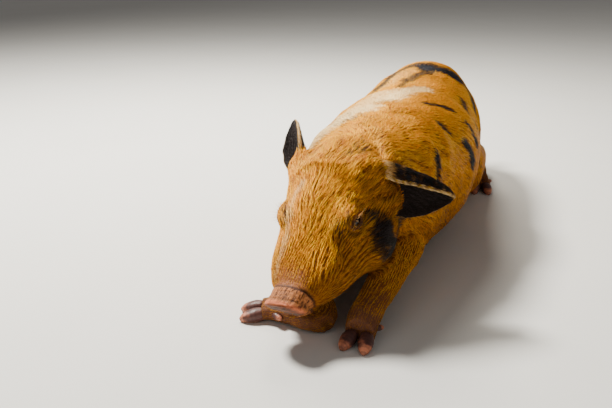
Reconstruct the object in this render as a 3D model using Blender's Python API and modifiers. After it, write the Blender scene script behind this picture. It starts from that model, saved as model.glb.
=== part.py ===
"""A young piglet lying on its chest, snout just off the ground, life size.

Metres, +Z up. The piglet faces -Y and its left side is +X. Its sizes are set out from a point on
the floor under the snout, and MIDDLE then moves the whole piglet, so that the origin is on the
floor under the middle of its box.
"""

import math
from collections import namedtuple

import bmesh
import bpy
import numpy as np
from mathutils import Matrix, Vector
from mathutils.bvhtree import BVHTree

# Driving dimensions
GAP = 0.0003
MIDDLE = Vector((0.004, 0.30665, 0.0))
BELLY_HALF = 0.101
RUMP_END = 0.628
HEAD_AT = Vector((-0.033, -0.022, 0.039))
HEAD_DOWN = math.radians(26.5)
HEAD_TURN = math.radians(-11.5)
HEAD_ROLL = math.radians(-8)
DISC_HALF = 0.0212
DISC_LEAN = 0.40
DISC_LEAN_END = 0.022
DISC_TWIST = math.radians(-7)
DISC_TWIST_END = 0.033
EYE_RADIUS = 0.0092
EYE_DEPTH = 0.0080
LID_THICK = 0.0022
LIP_RADIUS = 0.0021
EAR_THICK = 0.0030
TAIL_ROOT = Vector((0.004, 0.608, 0.143))
TAIL_CURL = 0.0125
TAIL_TURNS = 1.2
TAIL_PITCH = 0.011
TAIL_STEPS = 12
TAIL_SECTIONS = 32
TAIL_THICK = 0.0062
TAIL_TIP = 0.0022

# Fineness
BODY_VOXEL = 0.0038
BODY_SMOOTHINGS = 7
BODY_TRIANGLES = 4200
LEG_VOXEL = 0.0026
LEG_SMOOTHINGS = 3
LEG_TRIANGLES = 480
EAR_ROWS = 11
EAR_COLUMNS = 15

# One cross-section of a loft: its centre, half width, reach up and down, and squareness
# (2 is an ellipse, more is boxier)
Ring = namedtuple("Ring", "x y z wide up down square")
Egg = namedtuple("Egg", "x y z rx ry rz")

TRUNK = (
    Ring(0.000, 0.095, 0.098, 0.043, 0.045, 0.045, 2.0),
    Ring(0.000, 0.130, 0.100, 0.061, 0.062, 0.080, 2.0),
    Ring(0.001, 0.175, 0.102, 0.076, 0.074, 0.103, 2.05),
    Ring(0.003, 0.230, 0.103, 0.089, 0.078, 0.107, 2.1),
    Ring(0.008, 0.310, 0.103, BELLY_HALF, 0.077, 0.107, 2.15),
    Ring(0.008, 0.400, 0.103, 0.094, 0.078, 0.107, 2.15),
    Ring(0.005, 0.490, 0.104, 0.081, 0.085, 0.106, 2.1),
    Ring(0.004, 0.560, 0.106, 0.067, 0.081, 0.096, 2.1),
    Ring(0.004, 0.605, 0.106, 0.047, 0.060, 0.070, 2.0),
    Ring(0.004, RUMP_END, 0.104, 0.015, 0.020, 0.020, 2.0),
)
NECK = (
    Ring(-0.016, 0.065, 0.112, 0.050, 0.050, 0.046, 2.0),
    Ring(-0.008, 0.110, 0.112, 0.062, 0.062, 0.058, 2.0),
    Ring(0, 0.160, 0.108, 0.071, 0.070, 0.076, 2.0),
    Ring(0, 0.215, 0.102, 0.078, 0.076, 0.080, 2.0),
)
SHOULDER = Egg(0.044, 0.188, 0.094, 0.040, 0.056, 0.074)
HAM = Egg(0.047, 0.512, 0.080, 0.041, 0.083, 0.082)

# The head's rings lie in its own frame: +Y from the snout's disc back along the nose, +Z up
# through the forehead, and the origin at the middle of the disc
HEAD = (
    Ring(-0.001, 0.022, -0.003, 0.0265, 0.0185, 0.0205, 2.1),
    Ring(-0.001, 0.045, -0.004, 0.0405, 0.0275, 0.0290, 2.15),
    Ring(-0.001, 0.068, -0.004, 0.0460, 0.0370, 0.0370, 2.15),
    Ring(0, 0.090, -0.003, 0.0500, 0.0485, 0.0450, 2.15),
    Ring(0, 0.112, 0.000, 0.0515, 0.0570, 0.0520, 2.2),
    Ring(0, 0.135, 0.001, 0.0535, 0.0620, 0.0560, 2.2),
    Ring(0, 0.158, 0.001, 0.0530, 0.0600, 0.0560, 2.1),
    Ring(0, 0.180, 0.001, 0.0450, 0.0480, 0.0480, 2.0),
    Ring(0, 0.195, 0.001, 0.0250, 0.0280, 0.0280, 2.0),
)
JOWL = Egg(0.032, 0.118, -0.014, 0.028, 0.042, 0.036)
BROW = Egg(0.031, 0.095, 0.033, 0.014, 0.019, 0.012)
EAR_ROOT = Egg(0.037, 0.148, 0.041, 0.018, 0.022, 0.024)
SNOUT = (
    Ring(0, -0.0008, -0.0018, 0.0152, 0.0128, 0.0130, 2.2),
    Ring(0, 0.0000, -0.0017, 0.0194, 0.0164, 0.0160, 2.2),
    Ring(0, 0.0024, -0.0012, DISC_HALF, 0.0181, 0.0175, 2.2),
    Ring(0, 0.0062, -0.0006, 0.0211, 0.0178, 0.0172, 2.2),
    Ring(0, 0.0096, -0.0002, 0.0203, 0.0166, 0.0165, 2.2),
    Ring(0, 0.0140, -0.0008, 0.0214, 0.0178, 0.0175, 2.2),
    Ring(0, 0.0185, -0.0012, 0.0219, 0.0172, 0.0180, 2.2),
    Ring(0, 0.0240, -0.0020, 0.0246, 0.0190, 0.0200, 2.2),
    Ring(0, 0.0330, -0.0025, 0.0283, 0.0200, 0.0215, 2.2),
)
CHIN = (
    Ring(0, 0.0105, -0.0200, 0.0050, 0.0025, 0.0030, 2.0),
    Ring(0, 0.0150, -0.0200, 0.0115, 0.0045, 0.0060, 2.0),
    Ring(0, 0.0240, -0.0200, 0.0155, 0.0060, 0.0085, 2.0),
    Ring(0, 0.0400, -0.0200, 0.0180, 0.0080, 0.0110, 2.0),
    Ring(0, 0.0600, -0.0200, 0.0200, 0.0080, 0.0130, 2.0),
)
# The line of the mouth, seen from the side, (y, z): under the disc, back to the corner, and
# from there down through the throat, where the jaw ends
LIP_LINE = ((0.010, -0.0185), (0.025, -0.0158), (0.045, -0.0135), (0.065, -0.0125), (0.078, -0.0105))
JAW_END = ((0.088, -0.0135), (0.095, -0.0240), (0.098, -0.0400), (0.0995, -0.0580))
MOUTH_START = (-0.006, -0.0225)
LIP_GAP = 0.0007
JAW_SIDE = 0.08

SNOUT_BLADE = 0.0245
SNOUT_REACH = 0.05
NOSTRIL = Egg(0.0088, -0.001, 0.0, 0.0034, 0.0100, 0.0046)
EYE_FROM = Vector((0.0, 0.103, 0.018))
EYE_LOOK = Vector((1.0, -0.18, 0.26))
EYE_OPEN_HALF = 0.0070
EYE_OPEN_UP = 0.0026
EYE_OPEN_DOWN = 0.0022

# An ear: where its root is, which way its tip and the hollow of its cup face, how long and half how
# wide it is, the width of its upper half at mid length as a share of the lower half's, how far its
# tip bends, and how its sheet turns from its lower edge (-1) to its upper edge (1), in degrees, at
# its root and at its tip
Ear = namedtuple("Ear", "root tip_to open_to length half upper droop root_turns tip_turns")
LEFT_EAR = Ear(
    Vector((0.020, 0.086, 0.157)),
    Vector((0.87, 0.36, -0.40)),
    Vector((0.20, -0.97, -0.02)),
    0.094,
    0.042,
    0.72,
    0.006,
    ((-1, -55), (-0.4, -12), (0, 8), (0.28, 40), (0.60, 165), (1, 190)),
    ((-1, -25), (-0.4, -6), (0, 4), (0.35, 15), (0.70, 120), (1, 140)),
)
RIGHT_EAR = Ear(
    Vector((-0.050, 0.108, 0.132)),
    Vector((-0.50, 0.42, 0.72)),
    Vector((-0.60, -0.80, 0.0)),
    0.066,
    0.025,
    1.0,
    -0.008,
    ((-1, -95), (1, 95)),
    ((-1, -34), (1, 34)),
)
# Half width of the ear along its length, as a share of its widest
EAR_OUTLINE = ((0.0, 0.60), (0.15, 0.80), (0.38, 1.0), (0.62, 0.90), (0.82, 0.62), (0.94, 0.34), (1.0, 0.10))

# Each limb is an upper loft and a lower one that turns back from its end
LEFT_FORELEG = (
    (
        Ring(0.042, 0.195, 0.080, 0.026, 0.040, 0.040, 2.0),
        Ring(0.047, 0.155, 0.050, 0.023, 0.030, 0.034, 2.0),
        Ring(0.046, 0.106, 0.045, 0.0190, 0.0225, 0.0225, 2.0),
        Ring(0.042, 0.062, 0.036, 0.0168, 0.0180, 0.0180, 2.0),
        Ring(0.037, 0.036, 0.027, 0.0155, 0.0155, 0.0155, 2.0),
        Ring(0.034, 0.020, 0.019, 0.0168, 0.0150, 0.0150, 2.0),
        Ring(0.033, 0.006, 0.0125, 0.0145, 0.0100, 0.0110, 2.0),
    ),
)
RIGHT_FORELEG = (
    (
        Ring(-0.050, 0.195, 0.080, 0.028, 0.040, 0.040, 2.0),
        Ring(-0.060, 0.155, 0.044, 0.024, 0.028, 0.034, 2.0),
        Ring(-0.046, 0.098, 0.022, 0.0180, 0.0170, 0.0200, 2.0),
        Ring(-0.020, 0.046, 0.0165, 0.0150, 0.0145, 0.0160, 2.0),
        Ring(-0.008, 0.022, 0.0135, 0.0145, 0.0125, 0.0140, 2.0),
        Ring(-0.004, 0.012, 0.0120, 0.0110, 0.0090, 0.0125, 2.0),
    ),
    (
        Ring(-0.003, 0.016, 0.0125, 0.0100, 0.0090, 0.0130, 2.0),
        Ring(-0.014, 0.015, 0.0120, 0.0125, 0.0100, 0.0125, 2.0),
        Ring(-0.042, 0.022, 0.0112, 0.0118, 0.0095, 0.0118, 2.0),
        Ring(-0.060, 0.026, 0.0115, 0.0140, 0.0100, 0.0118, 2.0),
        Ring(-0.071, 0.027, 0.0110, 0.0130, 0.0090, 0.0112, 2.0),
    ),
)
HINDLEG = (
    (
        Ring(0.058, 0.470, 0.075, 0.030, 0.035, 0.035, 2.0),
        Ring(0.078, 0.430, 0.052, 0.022, 0.034, 0.036, 2.0),
        Ring(0.084, 0.480, 0.050, 0.0185, 0.026, 0.026, 2.0),
        Ring(0.082, 0.550, 0.043, 0.0155, 0.019, 0.019, 2.0),
        Ring(0.081, 0.596, 0.028, 0.0135, 0.0150, 0.0180, 2.0),
        Ring(0.082, 0.609, 0.0200, 0.0100, 0.0110, 0.0130, 2.0),
    ),
    (
        Ring(0.082, 0.606, 0.0165, 0.0105, 0.0110, 0.0170, 2.0),
        Ring(0.084, 0.588, 0.0135, 0.0130, 0.0120, 0.0140, 2.0),
        Ring(0.091, 0.548, 0.0120, 0.0122, 0.0112, 0.0125, 2.0),
        Ring(0.094, 0.526, 0.0120, 0.0142, 0.0112, 0.0125, 2.0),
        Ring(0.096, 0.512, 0.0112, 0.0132, 0.0095, 0.0115, 2.0),
    ),
)
# The hindquarters lie a little to the left of the shoulders
HIND_SHIFT = 0.004

# A foot: the middle of the line where its hoofs begin, the way its toes point in plan, and how
# high the limb is cut off there
Foot = namedtuple("Foot", "x y heading top")
FEET = {
    "forefoot_left": Foot(0.0335, 0.0060, math.radians(-94), 0.040),
    "forefoot_right": Foot(-0.0750, 0.0260, math.radians(-162), 0.040),
    "hindfoot_left": Foot(0.0970 + HIND_SHIFT, 0.5060, math.radians(-80), 0.0185),
    "hindfoot_right": Foot(-0.0970 + HIND_SHIFT, 0.5060, math.radians(-100), 0.0185),
}
TOE_SIDE = 0.0078
TOE_SPLAY = math.radians(8)
TOE = (
    Ring(-0.0180, 0, 0.0135, 0.0085, 0.0085, 0.0140, 2.0),
    Ring(-0.0080, 0, 0.0105, 0.0080, 0.0080, 0.0112, 2.0),
    Ring(0.0050, 0, 0.0080, 0.0074, 0.0074, 0.0088, 2.0),
)
HOOF = (
    Ring(0.0000, 0, 0.0078, 0.0074, 0.0072, 0.0090, 2.1),
    Ring(0.0060, 0, 0.0070, 0.0078, 0.0064, 0.0084, 2.2),
    Ring(0.0130, 0, 0.0055, 0.0068, 0.0050, 0.0070, 2.2),
    Ring(0.0185, 0, 0.0038, 0.0046, 0.0036, 0.0052, 2.1),
    Ring(0.0212, 0, 0.0024, 0.0018, 0.0016, 0.0034, 2.0),
)
DEWCLAW = (
    Ring(-0.0050, 0, 0, 0.0036, 0.0036, 0.0036, 2.0),
    Ring(0.0008, 0, 0, 0.0034, 0.0032, 0.0032, 2.0),
    Ring(0.0040, 0, 0, 0.0025, 0.0023, 0.0023, 2.0),
    Ring(0.0058, 0, 0, 0.0010, 0.0009, 0.0009, 2.0),
)
DEWCLAW_BACK = 0.0170
DEWCLAW_UP = 0.0105
DEWCLAW_BESIDE = 0.035
DEWCLAW_WAY = Vector((-0.62, 0.78, -0.05))

# The hind legs are parted from the trunk by an oval wall round each thigh
THIGH_AT = (0.500, 0.050)
THIGH_LONG = 0.136
THIGH_TALL = 0.100
THIGH_INNER = 0.044
THIGH_OUTER = 0.160
THIGH_SIDES = 40

# Flat cuts across the neck, each through a point above the back and one below the throat, (y, z)
HEAD_CUT = ((0.112, 0.175), (0.092, 0.035))
NECK_CUT = ((0.168, 0.180), (0.108, 0.020))
CUT_HALF = 0.16

COLOURS = {
    "skin": ((0.62, 0.33, 0.10), 0.75),
    "snout": ((0.56, 0.33, 0.25), 0.5),
    "ear": ((0.10, 0.08, 0.08), 0.7),
    "horn": ((0.42, 0.28, 0.22), 0.45),
    "eye": ((0.03, 0.02, 0.015), 0.1),
}
# What a node is made of, from a word in its name
KINDS = (("hoof", "horn"), ("dewclaw", "horn"), ("eye", "eye"), ("ear", "ear"), ("snout", "snout"))


def clear_scene():
    for obj in list(bpy.data.objects):
        bpy.data.objects.remove(obj, do_unlink=True)


def collection(name):
    made = bpy.data.collections.new(name)
    bpy.context.scene.collection.children.link(made)
    return made


def object_of(bm, name, home):
    mesh = bpy.data.meshes.new(name)
    bm.to_mesh(mesh)
    bm.free()
    obj = bpy.data.objects.new(name, mesh)
    home.objects.link(obj)
    return obj


def applied(obj):
    """The object with its modifiers worked into its mesh."""
    graph = bpy.context.evaluated_depsgraph_get()
    mesh = bpy.data.meshes.new_from_object(obj.evaluated_get(graph))
    obj.modifiers.clear()
    old = obj.data
    obj.data = mesh
    bpy.data.meshes.remove(old)
    return obj


def through(rings, count):
    """Values at count places along a smooth path through the rings."""
    table = np.array(rings, float)
    knots = np.concatenate([[0], np.cumsum(np.linalg.norm(np.diff(table[:, :3], axis=0), axis=1))])
    slopes = np.gradient(table, knots, axis=0)
    places = np.linspace(0, knots[-1], count)
    i = np.clip(np.searchsorted(knots, places, side="right") - 1, 0, len(rings) - 2)
    span = (knots[i + 1] - knots[i])[:, None]
    f = (places - knots[i])[:, None] / span
    return (
        table[i] * (1 + 2 * f) * (1 - f) ** 2
        + span * slopes[i] * f * (1 - f) ** 2
        + table[i + 1] * f**2 * (3 - 2 * f)
        + span * slopes[i + 1] * f**2 * (f - 1)
    )


def power(value, square):
    return math.copysign(abs(value) ** (2 / square), value)


def loft(name, rings, home, sections, sides, matrix=None):
    """A closed skin over the rings, which stand square to their path with their tops towards +Z."""
    table = through(rings, sections)
    paths = np.gradient(table[:, :3], axis=0)
    bm = bmesh.new()
    loops = []
    for row, path in zip(table, paths):
        x, y, z, wide, up, down, square = row
        ahead = Vector(path).normalized()
        side = ahead.cross(Vector((0, 0, 1))).normalized()
        top = side.cross(ahead)
        loop = []
        for k in range(sides):
            turn = 2 * math.pi * k / sides
            rise = power(math.sin(turn), square) * (up if k < sides / 2 else down)
            out = power(math.cos(turn), square) * wide
            loop.append(bm.verts.new(Vector((x, y, z)) + side * out + top * rise))
        loops.append(loop)
    for near, far in zip(loops, loops[1:]):
        for k in range(sides):
            bm.faces.new((near[k], near[(k + 1) % sides], far[(k + 1) % sides], far[k]))
    for loop in (loops[0], loops[-1]):
        middle = bm.verts.new(sum((v.co for v in loop), Vector()) / sides)
        for k in range(sides):
            bm.faces.new((loop[k], loop[(k + 1) % sides], middle))
    bmesh.ops.recalc_face_normals(bm, faces=bm.faces)
    if matrix:
        bm.transform(matrix)
    return object_of(bm, name, home)


def placed(rings, side, shift):
    """The rings of a left limb, set to one side of the middle and moved across by shift."""
    return tuple(ring._replace(x=side * ring.x + shift) for ring in rings)


def ball(name, centre, radii, home, fine=16, matrix=None):
    bm = bmesh.new()
    bmesh.ops.create_uvsphere(bm, u_segments=fine, v_segments=fine // 2 + 2, radius=1)
    bm.transform(Matrix.Translation(centre) @ Matrix.Diagonal((*radii, 1)))
    if matrix:
        bm.transform(matrix)
    return object_of(bm, name, home)


def egg(name, shape, side, home, matrix=None):
    centre = Vector((side * shape.x, shape.y, shape.z))
    return ball(name, centre, (shape.rx, shape.ry, shape.rz), home, 24, matrix)


def block(name, centre, ahead, half, home):
    """A box about centre, half = (along, across, up), its first side along ahead."""
    along = Vector(ahead).normalized()
    across = Vector((0, 0, 1)).cross(along)
    if across.length < 0.01:
        across = Vector((1, 0, 0))
    across.normalize()
    turn = Matrix((along, across, along.cross(across))).transposed().to_4x4()
    bm = bmesh.new()
    bmesh.ops.create_cube(bm, size=2)
    bm.transform(Matrix.Translation(centre) @ turn @ Matrix.Diagonal((*half, 1)))
    return object_of(bm, name, home)


def prism(name, outline, depth, matrix, home):
    """The closed outline in local YZ, drawn out along local X from depth[0] to depth[1]."""
    bm = bmesh.new()
    ends = [[bm.verts.new((x, y, z)) for y, z in outline] for x in depth]
    count = len(outline)
    for k in range(count):
        bm.faces.new((ends[0][k], ends[0][(k + 1) % count], ends[1][(k + 1) % count], ends[1][k]))
    for end in ends:
        bm.faces.new(end)
    bm.transform(matrix)
    bmesh.ops.recalc_face_normals(bm, faces=bm.faces)
    bmesh.ops.triangulate(bm, faces=bm.faces)
    return object_of(bm, name, home)


def combine(obj, tool, operation, solver="EXACT"):
    """Joins the tool to the object or cuts it away, and removes the tool."""
    step = obj.modifiers.new(operation, "BOOLEAN")
    step.operation = operation
    step.object = tool
    step.solver = solver
    applied(obj)
    bpy.data.objects.remove(tool, do_unlink=True)
    return obj


def fused(obj, pieces, solver="EXACT"):
    """One Boolean union of the object and the pieces, which are removed."""
    group = bpy.data.collections.new(obj.name + "_pieces")
    for piece in pieces:
        group.objects.link(piece)
    step = obj.modifiers.new("UNION", "BOOLEAN")
    step.operation = "UNION"
    step.operand_type = "COLLECTION"
    step.collection = group
    step.solver = solver
    applied(obj)
    for piece in pieces:
        bpy.data.objects.remove(piece, do_unlink=True)
    bpy.data.collections.remove(group)
    return obj


def softened(obj, voxel, smoothings, triangles, fine_at=None, fine_within=0.0):
    """The object as one even, smoothed skin of about that many triangles, finer near a point."""
    remesh = obj.modifiers.new("Even", "REMESH")
    remesh.mode = "VOXEL"
    remesh.voxel_size = voxel
    smooth = obj.modifiers.new("Soft", "SMOOTH")
    smooth.factor = 0.5
    smooth.iterations = smoothings
    applied(obj)
    fewer = obj.modifiers.new("Fewer", "DECIMATE")
    fewer.ratio = triangles / (2 * len(obj.data.polygons))
    if fine_at:
        group = obj.vertex_groups.new(name="coarser")
        for vertex in obj.data.vertices:
            near = (vertex.co - fine_at).length < fine_within
            group.add([vertex.index], 0.35 if near else 1.0, "REPLACE")
        fewer.vertex_group = group.name
        fewer.vertex_group_factor = 0.004
    applied(obj)
    obj.vertex_groups.clear()
    return keep_largest(obj)


def islands(mesh):
    """The mesh's separate closed surfaces, each as (points, faces), largest first."""
    mesh.calc_loop_triangles()
    points = np.empty(len(mesh.vertices) * 3)
    mesh.vertices.foreach_get("co", points)
    points = points.reshape(-1, 3)
    faces = np.empty(len(mesh.loop_triangles) * 3, int)
    mesh.loop_triangles.foreach_get("vertices", faces)
    faces = faces.reshape(-1, 3)
    label = np.arange(len(points))
    while True:
        low = label[faces].min(axis=1)
        new = label.copy()
        np.minimum.at(new, faces.ravel(), np.repeat(low, 3))
        new = new[new]
        if (new == label).all():
            break
        label = new
    found = []
    for root in np.unique(label[faces[:, 0]]):
        mine = faces[label[faces[:, 0]] == root]
        used, index = np.unique(mine, return_inverse=True)
        corners = points[mine]
        volume = np.einsum("ij,ij->i", corners[:, 0], np.cross(corners[:, 1], corners[:, 2])).sum() / 6
        found.append((abs(volume), points[used], index.reshape(-1, 3)))
    found.sort(key=lambda island: -island[0])
    return [island[1:] for island in found]


def set_mesh(obj, points, faces):
    mesh = bpy.data.meshes.new(obj.name)
    mesh.from_pydata([tuple(p) for p in points], [], [tuple(f) for f in faces])
    old = obj.data
    obj.data = mesh
    bpy.data.meshes.remove(old)
    return obj


def keep_largest(obj):
    return set_mesh(obj, *islands(obj.data)[0])


def part_off(body, blade, seed, name, home):
    """Cuts the body with a thin blade. The piece round the seed becomes an object of its own."""
    combine(body, blade, "DIFFERENCE")
    found = islands(body.data)
    reach = []
    for points, faces in found:
        tree = BVHTree.FromPolygons([Vector(p) for p in points], [tuple(f) for f in faces])
        reach.append(tree.find_nearest(seed)[3])
    chosen = reach.index(min(reach))
    piece = bpy.data.objects.new(name, bpy.data.meshes.new(name))
    home.objects.link(piece)
    set_mesh(piece, *found[chosen])
    del found[chosen]
    set_mesh(body, *found[0])
    return piece


def head_frame():
    turn = Matrix.Rotation(HEAD_TURN, 4, "Z")
    down = Matrix.Rotation(HEAD_DOWN, 4, "X")
    roll = Matrix.Rotation(HEAD_ROLL, 4, "Y")
    return Matrix.Translation(HEAD_AT) @ turn @ down @ roll


def tree_of(obj):
    points = [vertex.co.copy() for vertex in obj.data.vertices]
    return BVHTree.FromPolygons(points, [tuple(face.vertices) for face in obj.data.polygons])


def soft_body(home, head):
    """Trunk, neck and head with their muscle, fused and smoothed into one skin."""
    body = loft("body", TRUNK, home, 40, 40)
    pieces = [loft("neck", NECK, home, 14, 32), loft("skull", HEAD, home, 30, 32, head)]
    for side in (1, -1):
        pieces.append(egg("shoulder", SHOULDER, side, home))
        pieces.append(egg("ham", HAM, side, home, Matrix.Translation((HIND_SHIFT, 0, 0))))
        pieces.append(egg("jowl", JOWL, side, home, head))
        pieces.append(egg("brow", BROW, side, home, head))
        pieces.append(egg("ear_root", EAR_ROOT, side, home, head))
    fused(body, pieces)
    middle = head @ Vector((0, 0.070, 0.0))
    return softened(body, BODY_VOXEL, BODY_SMOOTHINGS, BODY_TRIANGLES, middle, 0.085)


def tube(name, points, radii, home, sides=1):
    """A tapering round rod through the points, as a closed mesh."""
    curve = bpy.data.curves.new(name, "CURVE")
    curve.dimensions = "3D"
    curve.bevel_depth = 1.0
    curve.bevel_resolution = sides
    curve.use_fill_caps = True
    spline = curve.splines.new("POLY")
    spline.points.add(len(points) - 1)
    for place, point, radius in zip(spline.points, points, radii):
        place.co = (*point, 1)
        place.radius = radius
    rod = bpy.data.objects.new(name, curve)
    home.objects.link(rod)
    bpy.context.view_layer.update()
    mesh = bpy.data.meshes.new_from_object(rod.evaluated_get(bpy.context.evaluated_depsgraph_get()))
    bm = bmesh.new()
    bm.from_mesh(mesh)
    bpy.data.meshes.remove(mesh)
    bmesh.ops.remove_doubles(bm, verts=bm.verts, dist=0.00001)
    bmesh.ops.recalc_face_normals(bm, faces=bm.faces)
    bpy.data.objects.remove(rod, do_unlink=True)
    return object_of(bm, name, home)


def lips(head, tree, home):
    """A low ridge above and below the line of the mouth on each side."""
    made = []
    line = through([(0, y, z) for y, z in LIP_LINE], 14)[2:, 1:]
    swell = [LIP_RADIUS * (0.55 + 0.45 * math.sin(math.pi * (k + 0.5) / len(line))) for k in range(len(line))]
    for side in (1, -1):
        inward = head.to_3x3() @ Vector((-side, 0, 0))
        for offset in (LIP_RADIUS * 0.9, -LIP_RADIUS * 0.9):
            starts = [head @ Vector((side * 0.09, y, z + offset)) for y, z in line]
            points = [tree.ray_cast(start, inward)[0] + inward * LIP_RADIUS * 0.45 for start in starts]
            made.append(tube("lip", points, swell, home))
    return made


def tail(home):
    """A loose curl round a line that runs straight back from the rump."""
    points = [TAIL_ROOT, TAIL_ROOT + Vector((0, 0.010, 0.002)), TAIL_ROOT + Vector((0, 0.020, 0.001))]
    for k in range(TAIL_STEPS + 1):
        turn = math.pi * (1.1 - 2 * TAIL_TURNS * k / TAIL_STEPS)
        across = Vector((math.cos(turn), 0, math.sin(turn))) * TAIL_CURL
        back = Vector((TAIL_CURL, 0.027 + TAIL_PITCH * TAIL_TURNS * k / TAIL_STEPS, 0))
        points.append(TAIL_ROOT + back + across)
    path = through([(*point, 0) for point in points], TAIL_SECTIONS)[:, :3]
    shares = [(k / (TAIL_SECTIONS - 1)) ** 0.7 for k in range(TAIL_SECTIONS)]
    radii = [TAIL_THICK + (TAIL_TIP - TAIL_THICK) * share for share in shares]
    return tube("tail", [Vector(p) for p in path], radii, home, 2)


def ear_row(middle, across, hollow, halves, turns):
    """Points across the ear, from its lower edge to its upper one, as its sheet turns."""
    places = [turn[0] for turn in turns]
    degrees = [turn[1] for turn in turns]
    centre = EAR_COLUMNS // 2
    row = {centre: middle}
    for way, half in zip((1, -1), halves):
        step = half / centre
        for j in range(1, centre + 1):
            turn = math.radians(float(np.interp(way * (j - 0.5) / centre, places, degrees)))
            ahead = across * math.cos(turn) + hollow * math.sin(turn)
            row[centre + way * j] = row[centre + way * (j - 1)] + ahead * (way * step)
    return [row[j] for j in range(EAR_COLUMNS)]


def ear_shell(name, shape, home):
    """A leaf-shaped cup, most hollow at its root."""
    along = shape.tip_to.normalized()
    hollow = (shape.open_to - along * shape.open_to.dot(along)).normalized()
    across = along.cross(hollow)
    if across.z < 0:
        across = -across
    outline = np.array(EAR_OUTLINE)
    bm = bmesh.new()
    grid = []
    for i in range(EAR_ROWS):
        t = i / (EAR_ROWS - 1)
        half = shape.half * float(np.interp(t, outline[:, 0], outline[:, 1]))
        centre = shape.root + along * (shape.length * t) + hollow * (shape.droop * t * t)
        turns = [
            (near[0] + (far[0] - near[0]) * t, near[1] + (far[1] - near[1]) * t)
            for near, far in zip(shape.root_turns, shape.tip_turns)
        ]
        upper = half * (1 + (shape.upper - 1) * math.sin(math.pi * t))
        row = ear_row(centre, across, hollow, (upper, half), turns)
        grid.append([bm.verts.new(point) for point in row])
    for near, far in zip(grid, grid[1:]):
        for j in range(EAR_COLUMNS - 1):
            bm.faces.new((near[j], near[j + 1], far[j + 1], far[j]))
    bmesh.ops.triangulate(bm, faces=bm.faces)
    obj = object_of(bm, name, home)
    thick = obj.modifiers.new("Thick", "SOLIDIFY")
    thick.thickness = EAR_THICK
    thick.offset = 0
    applied(obj)
    bm = bmesh.new()
    bm.from_mesh(obj.data)
    bmesh.ops.recalc_face_normals(bm, faces=bm.faces)
    bm.to_mesh(obj.data)
    bm.free()
    return obj


def eye_places(head, tree):
    """The middle of each eyeball, just under the skin, and the way it looks."""
    places = []
    for side in (1, -1):
        look = (head.to_3x3() @ Vector((side * EYE_LOOK.x, EYE_LOOK.y, EYE_LOOK.z))).normalized()
        hit = tree.ray_cast(head @ EYE_FROM, look)[0]
        places.append((hit - look * EYE_DEPTH, look))
    return places


def eye_slit(centre, look, head, home):
    """A long almond opening between the lids, its inner corner lower than its outer one."""
    along = (head.to_3x3() @ Vector((0, 1, 0.16))).normalized()
    along = (along - look * along.dot(look)).normalized()
    up = look.cross(along)
    if up.dot(head.to_3x3() @ Vector((0, 0, 1))) < 0:
        up = -up
    outline = []
    for k in range(16):
        turn = 2 * math.pi * k / 16
        rise = EYE_OPEN_UP if k < 8 else EYE_OPEN_DOWN
        outline.append((EYE_OPEN_HALF * math.cos(turn), rise * power(math.sin(turn), 1.5)))
    matrix = Matrix.Translation(centre) @ Matrix((look, along, up)).transposed().to_4x4()
    return prism("slit", outline, (EYE_RADIUS * 0.6, EYE_RADIUS * 2), matrix, home)


def foot_frame(foot):
    return Matrix.Translation((foot.x, foot.y, 0)) @ Matrix.Rotation(foot.heading, 4, "Z")


def toe_frame(foot, side):
    return (
        foot_frame(foot)
        @ Matrix.Translation((0, side * TOE_SIDE, 0))
        @ Matrix.Rotation(side * TOE_SPLAY, 4, "Z")
    )


def leg(name, lofts, foot, home):
    """A limb with its two toe stubs, cut square where the hoofs begin."""
    limb = loft(name, lofts[0], home, 24, 20)
    pieces = [loft("lower", rings, home, 14, 18) for rings in lofts[1:]]
    for side in (1, -1):
        pieces.append(loft("toe", TOE, home, 8, 14, toe_frame(foot, side)))
    fused(limb, pieces)
    softened(limb, LEG_VOXEL, LEG_SMOOTHINGS, LEG_TRIANGLES)
    frame = foot_frame(foot)
    middle = frame @ Vector((0.02, 0, foot.top - 0.03))
    ahead = frame.to_3x3() @ Vector((1, 0, 0))
    return combine(limb, block("beyond", middle, ahead, (0.02, 0.03, 0.03), home), "DIFFERENCE")


def floor_block(home):
    return block("floor", Vector((0, 0.3, -0.05)), (1, 0, 0), (0.5, 0.6, 0.05), home)


def which_side(foot, side):
    return "outer" if (side > 0) == (foot.x > 0) else "inner"


def hoofs(name, foot, home):
    made = []
    for side in (1, -1):
        frame = toe_frame(foot, side) @ Matrix.Translation((GAP + 0.0011, 0, 0))
        hoof = loft(f"{name}_{which_side(foot, side)}_hoof", HOOF, home, 6, 11, frame)
        combine(hoof, floor_block(home), "DIFFERENCE")
        made.append(keep_largest(hoof))
    return made


def dewclaws(name, foot, limb, home):
    """The two small claws behind the pastern, each set in a socket of its own shape."""
    frame = foot_frame(foot)
    tree = tree_of(limb)
    made = []
    sockets = []
    for side in (1, -1):
        way = frame.to_3x3() @ Vector((DEWCLAW_WAY.x, side * DEWCLAW_WAY.y, DEWCLAW_WAY.z)).normalized()
        beside = frame @ Vector((-DEWCLAW_BACK, side * DEWCLAW_BESIDE, DEWCLAW_UP))
        root = tree.ray_cast(beside, frame.to_3x3() @ Vector((0, -side, 0)))[0]
        up = (Vector((0, 0, 1)) - way * way.z).normalized()
        turn = Matrix((way, up.cross(way), up)).transposed().to_4x4()
        place = Matrix.Translation(root) @ turn
        made.append(loft(f"{name}_{which_side(foot, side)}_dewclaw", DEWCLAW, home, 6, 8, place))
        wider = [r._replace(wide=r.wide + GAP, up=r.up + GAP, down=r.down + GAP) for r in DEWCLAW]
        wider[0] = wider[0]._replace(x=wider[0].x - GAP)
        sockets.append(loft("socket", wider, home, 6, 8, place))
    for socket in sockets:
        combine(limb, socket, "DIFFERENCE")
    return made


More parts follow.
